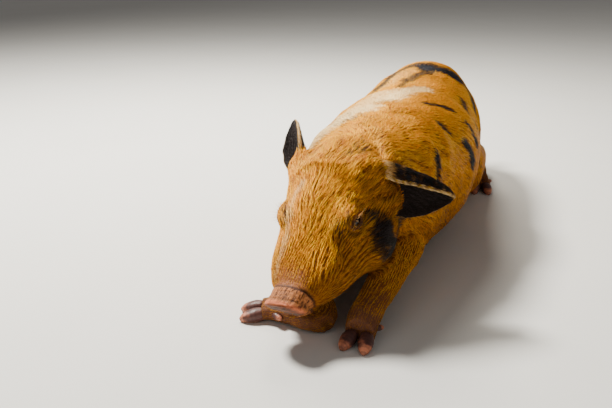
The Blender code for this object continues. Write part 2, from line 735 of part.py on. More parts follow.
def grown(obj, home):
    """A copy of the object with its skin moved out by the gap."""
    copy = bpy.data.objects.new(obj.name + "_grown", obj.data.copy())
    home.objects.link(copy)
    for vertex in copy.data.vertices:
        vertex.co += vertex.normal * GAP
    return copy


def outside(obj, skin, home):
    """What is left of the object outside the skin."""
    return keep_largest(combine(obj, grown(skin, home), "DIFFERENCE"))


def leaning_snout(head, home):
    """The snout, its disc a little twisted and with its upper rim ahead of the lower one."""
    obj = loft("snout", SNOUT, home, 14, 20)
    for vertex in obj.data.vertices:
        twist = DISC_TWIST * min(1, max(0, 1 - vertex.co.y / DISC_TWIST_END))
        vertex.co = Matrix.Rotation(twist, 3, "Y") @ vertex.co
        share = min(1, max(0, 1 - vertex.co.y / DISC_LEAN_END))
        vertex.co.y -= DISC_LEAN * vertex.co.z * share
    obj.data.transform(head)
    return obj


def jaw_blade(head, home):
    """A thin slot along the line of the mouth and down through the throat, right across the head."""
    line = [MOUTH_START, *LIP_LINE, *JAW_END]
    lower = []
    upper = []
    for k, (y, z) in enumerate(line):
        before = line[max(k - 1, 0)]
        after = line[min(k + 1, len(line) - 1)]
        ahead = Vector((after[0] - before[0], after[1] - before[1])).normalized()
        half = (LIP_GAP if k <= len(LIP_LINE) else GAP) / 2
        upper.append((y - ahead.y * half, z + ahead.x * half))
        lower.append((y + ahead.y * half, z - ahead.x * half))
    return prism("jaw_blade", upper + lower[::-1], (-JAW_SIDE, JAW_SIDE), head, home)


def thigh_blade(side, home):
    """A thin oval wall round the thigh, closed on its inner side."""
    walls = []
    for grow in (GAP, 0):
        outline = []
        for k in range(THIGH_SIDES):
            turn = 2 * math.pi * k / THIGH_SIDES
            y = THIGH_AT[0] + (THIGH_LONG + grow) * math.cos(turn)
            z = THIGH_AT[1] + (THIGH_TALL + grow) * math.sin(turn)
            outline.append((y, z))
        depth = (side * (THIGH_INNER - grow), side * (THIGH_OUTER - grow))
        walls.append(prism("wall", outline, depth, Matrix.Translation((HIND_SHIFT, 0, 0)), home))
    return combine(walls[0], walls[1], "DIFFERENCE")


def flat_blade(cut, home):
    (y1, z1), (y2, z2) = cut
    centre = Vector((0, (y1 + y2) / 2, (z1 + z2) / 2))
    return block("blade", centre, (0, z1 - z2, y2 - y1), (GAP / 2, CUT_HALF, CUT_HALF), home)


def paint(obj, kind):
    colour, roughness = COLOURS[kind]
    material = bpy.data.materials.new(obj.name + "_" + kind)
    material.use_nodes = True
    shader = material.node_tree.nodes["Principled BSDF"]
    shader.inputs["Base Color"].default_value = (*colour, 1)
    shader.inputs["Roughness"].default_value = roughness
    shader.inputs["Metallic"].default_value = 0
    obj.data.materials.clear()
    obj.data.materials.append(material)


def kind_of(name):
    for word, kind in KINDS:
        if word in name:
            return kind
    return "skin"


def main():
    clear_scene()
    home = collection("piglet")
    head = head_frame()
    body = soft_body(home, head)
    skin = bpy.data.objects.new("skin", body.data.copy())
    tree = tree_of(body)

    # Crisp pieces of the head, joined to the smooth skin
    eyes = eye_places(head, tree)
    fused(body, [leaning_snout(head, home), loft("chin", CHIN, home, 8, 14, head)])
    pieces = lips(head, tree_of(body), home)
    pieces += [ball("lids", centre, (EYE_RADIUS + LID_THICK,) * 3, home, 14) for centre, look in eyes]
    fused(body, pieces)
    for centre, look in eyes:
        combine(body, ball("socket", centre, (EYE_RADIUS + GAP,) * 3, home, 16), "DIFFERENCE")
        combine(body, eye_slit(centre, look, head, home), "DIFFERENCE")
    for side in (1, -1):
        combine(body, egg("nostril", NOSTRIL, side, home, head), "DIFFERENCE")

    # Ears, tail and forelegs end on the skin, a gap away from it
    ear_left = outside(ear_shell("ear_left", LEFT_EAR, home), skin, home)
    ear_right = outside(ear_shell("ear_right", RIGHT_EAR, home), skin, home)
    curl = outside(tail(home), skin, home)
    nodes = [ear_left, ear_right, curl]
    for name, foot_name, lofts in (
        ("foreleg_left", "forefoot_left", LEFT_FORELEG),
        ("foreleg_right", "forefoot_right", RIGHT_FORELEG),
    ):
        foot = FEET[foot_name]
        limb = outside(leg(name, lofts, foot, home), skin, home)
        combine(limb, floor_block(home), "DIFFERENCE")
        nodes += dewclaws(foot_name, foot, limb, home)
        nodes.append(keep_largest(limb))
    bpy.data.objects.remove(skin, do_unlink=True)

    # Hind legs are joined to the trunk and parted from it together with their thighs
    hind = (("hindleg_left", "hindfoot_left", 1), ("hindleg_right", "hindfoot_right", -1))
    limbs = []
    for name, foot, side in hind:
        lofts = [placed(rings, side, HIND_SHIFT) for rings in HINDLEG]
        limbs.append(leg(name, lofts, FEET[foot], home))
    fused(body, limbs)
    combine(body, floor_block(home), "DIFFERENCE")
    keep_largest(body)
    for name, foot, side in hind:
        nodes += dewclaws(foot, FEET[foot], body, home)
    for name, foot, side in hind:
        nodes.append(part_off(body, thigh_blade(side, home), foot_frame(FEET[foot]).translation, name, home))

    # The head's own parts, then the head, the neck and what is left, the torso
    nodes.append(part_off(body, jaw_blade(head, home), head @ Vector((0, 0.03, -0.026)), "lower_jaw", home))
    nose = head.to_3x3() @ Vector((0, 1, 0))
    blade = block("blade", HEAD_AT + nose * SNOUT_BLADE, nose, (GAP / 2, SNOUT_REACH, SNOUT_REACH), home)
    nodes.append(part_off(body, blade, HEAD_AT, "snout", home))
    nodes.append(part_off(body, flat_blade(HEAD_CUT, home), head @ Vector((0, 0.06, 0.03)), "head", home))
    nodes.append(part_off(body, flat_blade(NECK_CUT, home), Vector((0, 0.125, 0.17)), "neck", home))
    body.name = "torso"
    nodes.append(body)

    for name, foot in FEET.items():
        nodes += hoofs(name, foot, home)
    for (centre, look), side in zip(eyes, ("left", "right")):
        nodes.append(ball(f"eye_{side}", centre, (EYE_RADIUS,) * 3, home, 12))

    middle = bpy.data.objects.new("piglet_middle", None)
    middle.location = -MIDDLE
    home.objects.link(middle)
    for node in nodes:
        node.parent = middle
        node.data.name = node.name
        node.data.shade_smooth()
        paint(node, kind_of(node.name))


if __name__ == "__main__":
    main()
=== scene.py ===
"""The looks of a young spotted ginger piglet lying on its chest.

One skin with its folds and lids takes the place of the solids of flesh, under a short coat of flat
tufts. Eyes, lashes, whiskers, hoofs and dewclaws are pieces of their own. Metres, +Z up, the piglet
faces -Y and its left side is +X.
"""

import math
from collections import namedtuple

import bmesh
import bpy
import numpy as np
from mathutils import Matrix, Vector
from mathutils.bvhtree import BVHTree

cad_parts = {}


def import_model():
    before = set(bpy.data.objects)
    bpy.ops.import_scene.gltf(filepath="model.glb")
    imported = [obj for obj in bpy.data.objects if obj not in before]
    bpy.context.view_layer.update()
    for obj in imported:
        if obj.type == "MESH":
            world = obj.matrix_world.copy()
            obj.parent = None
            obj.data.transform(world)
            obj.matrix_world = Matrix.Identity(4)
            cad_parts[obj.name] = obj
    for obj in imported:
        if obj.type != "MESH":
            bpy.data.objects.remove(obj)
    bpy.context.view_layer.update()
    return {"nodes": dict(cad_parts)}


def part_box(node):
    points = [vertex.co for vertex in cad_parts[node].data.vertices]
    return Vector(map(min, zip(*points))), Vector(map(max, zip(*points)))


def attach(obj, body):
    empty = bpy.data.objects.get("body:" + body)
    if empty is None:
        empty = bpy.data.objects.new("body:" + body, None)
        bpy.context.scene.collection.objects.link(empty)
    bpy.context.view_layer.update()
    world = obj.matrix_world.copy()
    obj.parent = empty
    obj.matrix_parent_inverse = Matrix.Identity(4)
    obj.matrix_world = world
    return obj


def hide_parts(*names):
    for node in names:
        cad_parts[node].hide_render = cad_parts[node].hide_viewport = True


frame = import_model()

# Where the solids' sizes were set out from
MIDDLE = Vector((0.004, 0.30665, 0.0))
HEAD_AT = Vector((-0.033, -0.022, 0.039)) - MIDDLE
HEAD_DOWN = math.radians(26.5)
HEAD_TURN = math.radians(-11.5)
HEAD_ROLL = math.radians(-8)
EYE_RADIUS = 0.0092
IRIS_RADIUS = 0.0060
PUPIL_RADIUS = 0.0030
EYE_INSIDE = 0.965
EYE_BULGE = 0.0005
EYE_RINGS = 40
EYE_SECTORS = 56
EYE_LOOK = Vector((1.0, -0.18, 0.26))
DISC_LEAN = 0.40
DISC_LEAN_END = 0.022

CAMERA_AT = Vector((0.176, -0.60, 0.369)) - MIDDLE
CAMERA_AROUND = math.radians(18)
CAMERA_DOWN = math.radians(20)
CAMERA_LENS = 43.0
# Lights: name, place, aim, size, power, colour
LIGHTS = (
    ("key", (-0.92, 0.18, 1.42), (0, -0.08, 0.1), 0.40, 80, (1.0, 0.97, 0.88)),
    ("fill", (1.3, -1.3, 0.9), (0, -0.1, 0.1), 1.4, 2, (1.0, 0.98, 0.95)),
    ("rear", (-0.35, 0.80, 1.05), (0, 0.12, 0.15), 0.5, 15, (1.0, 0.95, 0.82)),
    ("front", (-0.7, -1.6, 0.9), (0, -0.2, 0.1), 1.0, 2, (1.0, 0.95, 0.88)),
)
WORLD_COLOUR = (1.0, 0.97, 0.93, 1)
WORLD_STRENGTH = 0.16
FLOOR_HALF = 6.0

FLESH = (
    "head", "snout", "lower_jaw", "neck", "torso", "tail", "ear_left", "ear_right",
    "foreleg_left", "foreleg_right", "hindleg_left", "hindleg_right",
)
CLOSE = 0.00028
VOXEL = 0.0012
SKIN_TRIANGLES = 170000
FLOOR_CLEAR = 0.0003


def head_frame():
    turn = Matrix.Rotation(HEAD_TURN, 4, "Z")
    down = Matrix.Rotation(HEAD_DOWN, 4, "X")
    roll = Matrix.Rotation(HEAD_ROLL, 4, "Y")
    return Matrix.Translation(HEAD_AT) @ turn @ down @ roll


HEAD = head_frame()
HEAD_BACK = np.array(HEAD.inverted())

HEAD_PARTS = ("head", "snout", "lower_jaw")
BODY_PARTS = ("neck", "torso")
# How far inside the solids the skin lies: on the body, on other parts, and along the head
BODY_DEPTH = 0.0011
HEAD_DEPTHS = ((0.012, 0.05, 0.16), (0, 0.0004, 0.0009))
DEPTHS = {
    "ear_left": 0.0002, "ear_right": 0.0002, "tail": 0.0004,
    "foreleg_left": 0.0006, "foreleg_right": 0.0006, "hindleg_left": 0.0006, "hindleg_right": 0.0006,
}
SMOOTHINGS = 7
MIDLINE = 0.002
TUFTS = 236000
WIDER = 1.0

# The line of the mouth in the head's frame, (along, up), and the creases across the top of the
# snout: how far from the disc, how deep and half how wide
LIP_LINE = ((0.010, -0.0185), (0.025, -0.0158), (0.045, -0.0135), (0.065, -0.0125), (0.078, -0.0105))
SNOUT_CREASES = (
    (0.0050, 0.0006, 0.0009), (0.0088, 0.0003, 0.0007), (0.0120, 0.0003, 0.0007),
    (0.0172, 0.0011, 0.0012), (0.0225, 0.0004, 0.0012),
)
# Folds round each eye: reach, how much flatter than round, depth, half width, above (1) or below (-1)
LID_FOLDS = (
    (0.0118, 1.45, 0.0011, 0.0011, 1), (0.0150, 1.40, 0.0008, 0.0013, 1), (0.0200, 1.30, 0.0007, 0.0018, 1),
    (0.0120, 1.60, 0.0009, 0.0011, -1), (0.0160, 1.50, 0.0006, 0.0014, -1),
)
# Folds of the neck, shoulder and flank in millimetres: path, depth, half width
BODY_FOLDS = (
    (((9, -94, 179), (23, -79, 178), (37, -70, 175), (51, -75, 168), (61, -86, 159),
      (75, -103, 130)), 2.4, 5),
    (((52, -142, 158), (64, -128, 150), (69, -127, 140), (71, -140, 125), (70, -155, 95)), 3.4, 4.2),
    (((4, -166, 173), (14, -182, 170), (20, -196, 165), (28, -208, 156)), 3, 6),
    (((34, -174, 163), (50, -150, 158)), -2, 11),
    (((-52, -157, 156), (-68, -147, 140), (-74, -147, 110), (-70, -157, 85)), 2.6, 4.5),
    (((-30, -95, 176), (-52, -83, 168), (-72, -87, 148), (-80, -102, 125)), 1.8, 5),
    (((78, 131, 140), (90, 121, 112), (92, 111, 80), (86, 103, 50)), 2.2, 7),
    (((-72, 131, 140), (-84, 121, 112), (-88, 111, 80), (-82, 103, 50)), 2.2, 7),
)

# Soft forms of both sides of the body, likewise. Those with a depth below 0 stand out
BODY_FORMS = (
    (((62, -85, 168), (86, -98, 132), (82, -112, 98)), -2.4, 15),
    (((70, -52, 165), (93, -52, 128), (96, -46, 90)), 2.6, 13),
    (((70, 82, 158), (92, 88, 126), (98, 92, 90)), 3.4, 17),
    (((62, 175, 160), (86, 190, 115), (82, 215, 80)), -2.6, 26),
    (((86, -5, 80), (88, 45, 62)), 2.2, 18),
)
# Where the brow's step over the left eye is softened, how far round it, and where it is filled out
BROW_STEP = (0.0110, -0.2500, 0.1390)
BROW_FOOT = (0.0130, -0.2525, 0.1350)
BROW_REACH = 0.030
BROW_ROUNDS = 45

# Markings in millimetres, each a path along the skin, half its width and how strong it is; the grey and pale
# lists also hold painted shade and painted highlight
BLACK = (
    (((-45, 60, 170), (-44, 100, 172), (-38, 140, 177), (-26, 183, 184)), 6.5, 0.85),
    (((-26, 183, 184), (-9, 195, 189), (10, 198, 189)), 12, 0.9),
    (((10, 176, 188), (24, 180, 186), (38, 186, 182), (51, 188, 172)), 23, 1),
    (((51, 188, 172), (64, 182, 160), (74, 170, 148), (83, 142, 140)), 13, 1),
    (((-12, 65, 179), (-7, 105, 182)), 4.5, 0.7),
    (((-7, 105, 182), (3, 135, 185), (14, 158, 187), (22, 185, 187)), 9, 0.85),
    (((34, -17, 177), (49, -3, 173), (64, 6, 167)), 5, 0.95),
    (((56, -62, 167), (63, -59, 162), (70, -56, 157)), 5.8, 0.95),
    (((65, -122, 147), (67, -131, 135), (68, -143, 123)), 6.6, 1),
    (((90, -37, 139), (96, -33, 127), (100, -28, 112)), 8.5, 1),
    (((86, 6, 151), (94, 1, 140), (100, 2, 128)), 6.2, 1),
    (((65, 99, 164), (77, 72, 156), (88, 64, 145), (94, 50, 138)), 5.5, 0.95),
    (((28, -256, 108), (36, -249, 96)), 8.5, 0.92),
    (((36, -249, 94), (41, -245, 85), (43, -237, 73)), 12.5, 0.98),
    (((28, -258, 95), (33, -256, 84), (39, -246, 70)), 9, 0.92),
    (((45, -212, 100), (47, -216, 88)), 10, 0.75),
    (((-92, 63, 120), (-94, 81, 104)), 12, 1),
    (((-86, -27, 140), (-94, -15, 124)), 7.5, 0.95),
    (((-70, 173, 140), (-74, 193, 120), (-66, 218, 100)), 13, 1),
    (((-92, -7, 80), (-94, 7, 70)), 6.5, 0.9),
    (((94, 113, 80), (90, 125, 66)), 8.5, 0.95),
    (((30, 273, 150), (34, 279, 130)), 10, 0.95),
    (((-75, -197, 110), (-78, -187, 96)), 9, 0.9),
)
# Grey hair, and painted shade: in the folds of the neck and shoulder, and round and in front of the left eye
GREY_AND_SHADE = (
    (((-51, -92, 167), (-36, -109, 172), (-25, -119, 175)), 12, 0.75),
    (((-8, -144, 177), (2, -157, 176), (10, -165, 174)), 9, 0.65),
    (((-8, -231, 164), (-4, -224, 166), (1, -217, 168), (4, -211, 168)), 7.5, 0.9),
    (((4, -282, 104), (12, -276, 106), (22, -264, 108)), 9, 0.8),
    (((-62, -260, 112), (-59, -266, 106), (-56, -269, 99)), 5.5, 0.6),
    (((9, -94, 179), (23, -79, 178), (37, -70, 175), (51, -75, 168), (61, -86, 159)), 2.8, 0.85),
    (((19, -53, 180), (31, -50, 178)), 2.6, 0.7),
    (((14, -182, 170), (20, -196, 165)), 9, 0.45),
)
# Pale hair, and painted highlight: along the nape and the back on the right side, where the key light falls,
# and down the right edge of the face
PALE_AND_HIGHLIT = (
    (((-62, -132, 158), (-48, -112, 168), (-37, -90, 174), (-22, -70, 179)), 18, 0.85),
    (((-34, -70, 174), (-32, -20, 174), (-26, 30, 176)), 20, 0.6),
    (((-11, -24, 180), (-6, 7, 179), (2, 36, 180), (16, 54, 179)), 16, 0.8),
    (((-36, 90, 176), (-20, 150, 183)), 14, 0.2),
    (((-47, -252, 133), (-53, -265, 110), (-53, -279, 89), (-55, -294, 71), (-55, -304, 56)), 4, 0.32),
)

# An ear, as in the solids: half its width and its upper half's share at mid length, how far its tip
# bends, and how its sheet turns across, in degrees, at its root and at its tip
EAR_NAMES = ("ear_left", "ear_right")
Ear = namedtuple("Ear", "root tip_to open_to length half upper droop root_turns tip_turns")
EARS = (
    Ear(
        (0.020, 0.086, 0.157), (0.87, 0.36, -0.40), (0.20, -0.97, -0.02), 0.094, 0.042, 0.72, 0.006,
        ((-1, -55), (-0.4, -12), (0, 8), (0.28, 40), (0.60, 165), (1, 190)),
        ((-1, -25), (-0.4, -6), (0, 4), (0.35, 15), (0.70, 120), (1, 140)),
    ),
    Ear(
        (-0.050, 0.108, 0.132), (-0.50, 0.42, 0.72), (-0.60, -0.80, 0.0), 0.066, 0.025, 1.0, -0.008,
        ((-1, -95), (1, 95)),
        ((-1, -34), (1, 34)),
    ),
)
EAR_OUTLINE = ((0.0, 0.60), (0.15, 0.80), (0.38, 1.0), (0.62, 0.90), (0.82, 0.62), (0.94, 0.34), (1.0, 0.10))
EAR_ROWS = 25
EAR_COLUMNS = 12
EAR_BATCH = 2000
EAR_TIP_EDGE = 0.090


class EarSheet:
    """The middle of an ear's sheet as a grid: each point, the way its hollow side faces, and where it is."""

    def __init__(self, shape):
        tip = np.array(shape.tip_to) / np.linalg.norm(shape.tip_to)
        hollow = np.array(shape.open_to, float)
        hollow -= tip * (hollow @ tip)
        hollow /= np.linalg.norm(hollow)
        across = np.cross(tip, hollow)
        if across[2] < 0:
            across = -across
        self.tip = tip
        root = np.array(shape.root) - np.array(MIDDLE)
        outline = np.array(EAR_OUTLINE)
        points, faces, places = [], [], []
        for i in range(EAR_ROWS):
            t = i / (EAR_ROWS - 1)
            half = shape.half * np.interp(t, outline[:, 0], outline[:, 1])
            centre = root + tip * (shape.length * t) + hollow * (shape.droop * t * t)
            near, far = np.array(shape.root_turns), np.array(shape.tip_turns)
            stops = near[:, 0] + (far[:, 0] - near[:, 0]) * t
            turns = near[:, 1] + (far[:, 1] - near[:, 1]) * t
            upper = half * (1 + (shape.upper - 1) * math.sin(math.pi * t))
            for way, reach in ((1, upper), (-1, half)):
                point = centre
                for j in range(1, EAR_COLUMNS + 1):
                    turn = math.radians(np.interp(way * (j - 0.5) / EAR_COLUMNS, stops, turns))
                    run = across * math.cos(turn) + hollow * math.sin(turn)
                    point = point + run * (way * reach / EAR_COLUMNS)
                    points.append(point)
                    faces.append(hollow * math.cos(turn) - across * math.sin(turn))
                    places.append((t, way * j / EAR_COLUMNS, (1 - j / EAR_COLUMNS) * reach))
        self.points, self.faces, self.places = np.array(points), np.array(faces), np.array(places)
        self.middle = self.points.mean(axis=0)

    def at(self, points, normals):
        """Along the ear, across it, how far from its edge, and whether on its hollow side."""
        near = np.empty(len(points), int)
        for k in range(0, len(points), EAR_BATCH):
            gaps = points[k:k + EAR_BATCH, None] - self.points[None]
            near[k:k + EAR_BATCH] = (gaps**2).sum(axis=2).argmin(axis=1)
        along, across, edge = self.places[near].T
        edge = np.minimum(edge, EAR_TIP_EDGE * (1 - along))
        inside = smoothstep(-0.25, 0.25, (self.faces[near] * normals).sum(axis=1))
        return along, across, edge, inside


# The line down the middle of each leg in millimetres, from the body to the hoofs, and where along it
# the foot begins
LEG_PATHS = {
    "foreleg_left": (
        (42, 195, 80), (47, 155, 50), (46, 106, 45), (42, 62, 36), (37, 36, 27), (34, 20, 19),
        (33, -10, 10),
    ),
    "foreleg_right": (
        (-50, 195, 80), (-60, 155, 44), (-46, 98, 22), (-20, 46, 16.5), (-8, 22, 13.5), (-4, 12, 12),
        (-14, 15, 12), (-42, 22, 11.2), (-60, 26, 11.5), (-90, 32, 8),
    ),
    "hindleg_left": (
        (62, 470, 75), (82, 430, 52), (88, 480, 50), (86, 550, 43), (85, 596, 28), (86, 609, 20),
        (88, 588, 13.5), (95, 548, 12), (98, 526, 12), (102, 495, 8),
    ),
    "hindleg_right": (
        (-54, 470, 75), (-74, 430, 52), (-80, 480, 50), (-78, 550, 43), (-77, 596, 28), (-78, 609, 20),
        (-80, 588, 13.5), (-87, 548, 12), (-90, 526, 12), (-94, 495, 8),
    ),
}
LEG_PATHS = {name: np.array(path) / 1000 - np.array(MIDDLE) for name, path in LEG_PATHS.items()}
FOOT_FROM = {
    "foreleg_left": (0.45, 0.92), "foreleg_right": (0.40, 0.80),
    "hindleg_left": (0.50, 0.85), "hindleg_right": (0.50, 0.85),
}
TAIL_ROOT = Vector((0.004, 0.608, 0.143)) - MIDDLE
TAIL_CURL = 0.0125
TAIL_TURNS = 1.2
TAIL_PITCH = 0.011
# Growth rings of a hoof, as an angle along it, how far its root goes into the foot, and how far the
# hoof stays over the floor
HOOF_RINGS = 34
HOOF_SUNK = 0.0030
HOOF_CLEAR = 0.00005

# Where each part's roots go on the map that the coat is baked by: left, right, low, high
MAPS = {
    "body": (0.01, 0.58, 0.01, 0.99), "head": (0.60, 0.99, 0.60, 0.99),
    "foreleg_left": (0.60, 0.78, 0.44, 0.58), "foreleg_right": (0.81, 0.99, 0.44, 0.58),
    "hindleg_left": (0.60, 0.78, 0.28, 0.42), "hindleg_right": (0.81, 0.99, 0.28, 0.42),
    "ear_left": (0.60, 0.74, 0.13, 0.26), "ear_left_in": (0.76, 0.88, 0.13, 0.26),
    "ear_right": (0.60, 0.70, 0.01, 0.11), "ear_right_in": (0.72, 0.82, 0.01, 0.11),
    "tail": (0.84, 0.99, 0.01, 0.11),
}
# One tuft: the size of its patch on the map and each corner's spot in it, the corners of its faces,
# how far along its thickest place is, and its height there as a share of its width
PATCH = 0.003
TUFT_SPOTS = ((0.0, -0.5), (-0.5, -0.05), (0.5, -0.05), (0.0, 0.1), (0.0, 0.5))
TUFT_FACES = ((0, 2, 1), (0, 3, 2), (0, 1, 3), (4, 1, 2), (4, 2, 3), (4, 3, 1))
TUFT_MIDDLE = 0.42
TUFT_ALONG = (0, TUFT_MIDDLE, TUFT_MIDDLE, TUFT_MIDDLE, 1)
TUFT_HIGH = 0.40
# How far hair and a laid tuft stay over the floor, how deep a tuft and a single hair are rooted, and a
# hair's steps
HAIR_CLEAR = 0.00002
LAID_CLEAR = 0.0004
TUFT_ROOT = 0.0005
HAIR_ROOT = 0.0004
HAIR_STEPS = 5
STRAY_SHARE = 0.05
# Locks of hair: how wide, how far along the lie, and half the step across for their slope
LOCK_SIZE = 0.0026
LOCK_REACH = 0.008
LOCK_HALF = 0.0005
# The tufts of the body: length, width, height of the tip, and the same along the head, with density
BODY_TUFT = (0.0135, 0.00088, 0.0013)
HEAD_LENGTHS = ((0.015, 0.03, 0.06, 0.11, 0.18), (0.0026, 0.0050, 0.0090, 0.0135, 0.0160))
HEAD_WIDTHS = ((0.015, 0.04, 0.10, 0.18), (0.00034, 0.00050, 0.00072, 0.00088))
HEAD_LIFTS = ((0.010, 0.05, 0.18), (0.0005, 0.0011, 0.0019))
HEAD_DENSITY = ((0.010, 0.03, 0.10, 0.18), (2.2, 2.6, 2.2, 1.5))


def tail_path():
    points = [TAIL_ROOT, TAIL_ROOT + Vector((0, 0.020, 0.001))]
    for k in range(13):
        turn = math.pi * (1.1 - 2 * TAIL_TURNS * k / 12)
        across = Vector((math.cos(turn), 0, math.sin(turn))) * TAIL_CURL
        back = Vector((TAIL_CURL, 0.027 + TAIL_PITCH * TAIL_TURNS * k / 12, 0))
        points.append(TAIL_ROOT + back + across)
    return np.array([tuple(point) for point in points])


TAIL_PATH = tail_path()


def on(owners, *names):
    """Which points belong to the named solids."""
    return np.isin(owners, [FLESH.index(name) for name in names])


def middle_of(name):
    low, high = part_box(name)
    return (np.array(low) + np.array(high)) / 2


EYE_BALLS = (middle_of("eye_left"), middle_of("eye_right"))


def in_head(points):
    """The points in the head's own frame: +Y from the snout's disc back along the nose, +Z up."""
    return points @ HEAD_BACK[:3, :3].T + HEAD_BACK[:3, 3]


def upright(local):
    """How far back along the snout each point lies, were its disc square to it and not leaning."""
    lean = DISC_LEAN * np.clip(local[:, 2], -0.02, 0.02)
    straight = (local[:, 1] + lean) / (1 + lean / DISC_LEAN_END)
    return np.where(local[:, 1] < DISC_LEAN_END, straight, local[:, 1])


def trailing(local):
    """How much further back the snout's creases run at the sides than on top."""
    return 0.10 * np.maximum(np.abs(local[:, 0]) - 0.008, 0)


def smoothstep(low, high, value):
    share = np.clip((value - low) / (high - low), 0, 1)
    return share * share * (3 - 2 * share)


def ripple(points, size, seed):
    """Smooth noise about 0, mostly within -1 and 1, with features of about that size."""
    rng = np.random.default_rng(seed)
    total = np.zeros(len(points))
    for _ in range(7):
        way = rng.normal(size=3)
        way *= 2 * math.pi / size * rng.uniform(0.55, 1.5) / np.linalg.norm(way)
        total += np.sin(points @ way + rng.uniform(0, 2 * math.pi))
    return total / 2.6


def unit(vectors):
    return vectors / np.maximum(np.linalg.norm(vectors, axis=1, keepdims=True), 1e-12)


SHEETS = [EarSheet(ear) for ear in EARS]


# Meshes as arrays

def arrays(mesh):
    """Points and triangles of a mesh."""
    mesh.calc_loop_triangles()
    points = np.empty(len(mesh.vertices) * 3)
    mesh.vertices.foreach_get("co", points)
    faces = np.empty(len(mesh.loop_triangles) * 3, np.int64)
    mesh.loop_triangles.foreach_get("vertices", faces)
    return points.reshape(-1, 3), faces.reshape(-1, 3)


def mesh_of(name, points, faces):
    mesh = bpy.data.meshes.new(name)
    mesh.vertices.add(len(points))
    mesh.vertices.foreach_set("co", np.asarray(points, np.float32).ravel())
    mesh.loops.add(faces.size)
    mesh.loops.foreach_set("vertex_index", np.asarray(faces, np.int32).ravel())
    mesh.polygons.add(len(faces))
    mesh.polygons.foreach_set("loop_start", np.arange(0, faces.size, faces.shape[1], dtype=np.int32))
    mesh.update(calc_edges=True)
    mesh.shade_smooth()
    return mesh


def object_of(name, mesh, material=None):
    obj = bpy.data.objects.new(name, mesh)
    bpy.context.scene.collection.objects.link(obj)
    if material:
        mesh.materials.append(material)
    return obj


def applied(obj):
    mesh = bpy.data.meshes.new_from_object(obj.evaluated_get(bpy.context.evaluated_depsgraph_get()))
    obj.modifiers.clear()
    obj.data = mesh
    return mesh


def paint_points(mesh, name, *columns):
    """Keeps three values for each point of the mesh, for its material to read."""
    colours = np.ones((len(mesh.vertices), 4), np.float32)
    colours[:, :3] = np.transpose(columns)
    layer = mesh.attributes.new(name, "FLOAT_COLOR", "POINT")
    layer.data.foreach_set("color", colours.ravel())


def edges_of(faces):
    ends = np.concatenate([faces[:, [0, 1]], faces[:, [1, 2]], faces[:, [2, 0]]])
    return np.unique(np.sort(ends, axis=1), axis=0)


def spread(values, edges):
    """The mean of each point's neighbours."""
    count = len(values)
    a, b = edges[:, 0], edges[:, 1]
    number = np.bincount(a, minlength=count) + np.bincount(b, minlength=count)
    columns = []
    for k in range(values.shape[1]):
        column = np.bincount(a, weights=values[b, k], minlength=count)
        column += np.bincount(b, weights=values[a, k], minlength=count)
        columns.append(column / np.maximum(number, 1))
    return np.stack(columns, axis=1)


def smoothed(points, edges, rounds):
    """Smooths without shrinking, by steps in and out in turn."""
    for _ in range(rounds):
        for step in (0.60, -0.635):
            points = points + step * (spread(points, edges) - points)
    return points


def normals_of(points, faces):
    corners = points[faces]
    across = np.cross(corners[:, 1] - corners[:, 0], corners[:, 2] - corners[:, 0])
    total = np.zeros_like(points)
    for k in range(3):
        for axis in range(3):
            total[:, axis] += np.bincount(faces[:, k], weights=across[:, axis], minlength=len(points))
    return unit(total)


def tree_of(points, faces):
    return BVHTree.FromPolygons([Vector(p) for p in points], faces.tolist())


def to_path(points, path):
    """Each point's distance to a path, the way the path runs there, the offset, and the share along."""
    path = np.asarray(path, float)
    lengths = np.linalg.norm(np.diff(path, axis=0), axis=1)
    best = np.full(len(points), 1e9)
    ways = np.zeros_like(points)
    offsets = np.zeros_like(points)
    shares = np.zeros(len(points))
    passed = 0.0
    for start, end, length in zip(path, path[1:], lengths):
        run = (end - start) / length
        share = np.clip((points - start) @ run, 0, length)
        offset = points - start - share[:, None] * run
        far = np.linalg.norm(offset, axis=1)
        near = far < best
        best[near] = far[near]
        ways[near] = run
        offsets[near] = offset[near]
        shares[near] = ((passed + share) / lengths.sum())[near]
        passed += length
    return best, ways, offsets, shares


# The skin

def remeshed_flesh():
    """The solids of flesh grown to meet each other, as one even closed skin."""
    bm = bmesh.new()
    for name in FLESH:
        bm.from_mesh(frame["nodes"][name].data)
    bmesh.ops.remove_doubles(bm, verts=bm.verts, dist=0.00001)
    bm.normal_update()
    for vertex in bm.verts:
        vertex.co += vertex.normal * CLOSE
    mesh = bpy.data.meshes.new("flesh")
    bm.to_mesh(mesh)
    bm.free()
    obj = object_of("flesh", mesh)
    remesh = obj.modifiers.new("Even", "REMESH")
    remesh.mode = "VOXEL"
    remesh.voxel_size = VOXEL
    points, faces = arrays(applied(obj))
    bpy.data.objects.remove(obj, do_unlink=True)
    return points, faces


def largest(points, faces):
    label = np.arange(len(points))
    while True:
        low = label[faces].min(axis=1)
        new = label.copy()
        np.minimum.at(new, faces.ravel(), np.repeat(low, 3))
        new = new[new]
        if (new == label).all():
            break
        label = new
    main = np.bincount(label).argmax()
    mine = faces[label[faces[:, 0]] == main]
    used, index = np.unique(mine, return_inverse=True)
    return points[used], index.reshape(-1, 3)


def owners_of(points):
    """The solid that each point lies nearest to, by its place in FLESH."""
    corners, faces, owner = [], [], []
    for number, name in enumerate(FLESH):
        some, triangles = arrays(frame["nodes"][name].data)
        faces += (triangles + len(corners)).tolist()
        corners += [Vector(p) for p in some]
        owner += [number] * len(triangles)
    tree = BVHTree.FromPolygons(corners, faces)
    return np.array([owner[tree.find_nearest(p)[2]] for p in points])


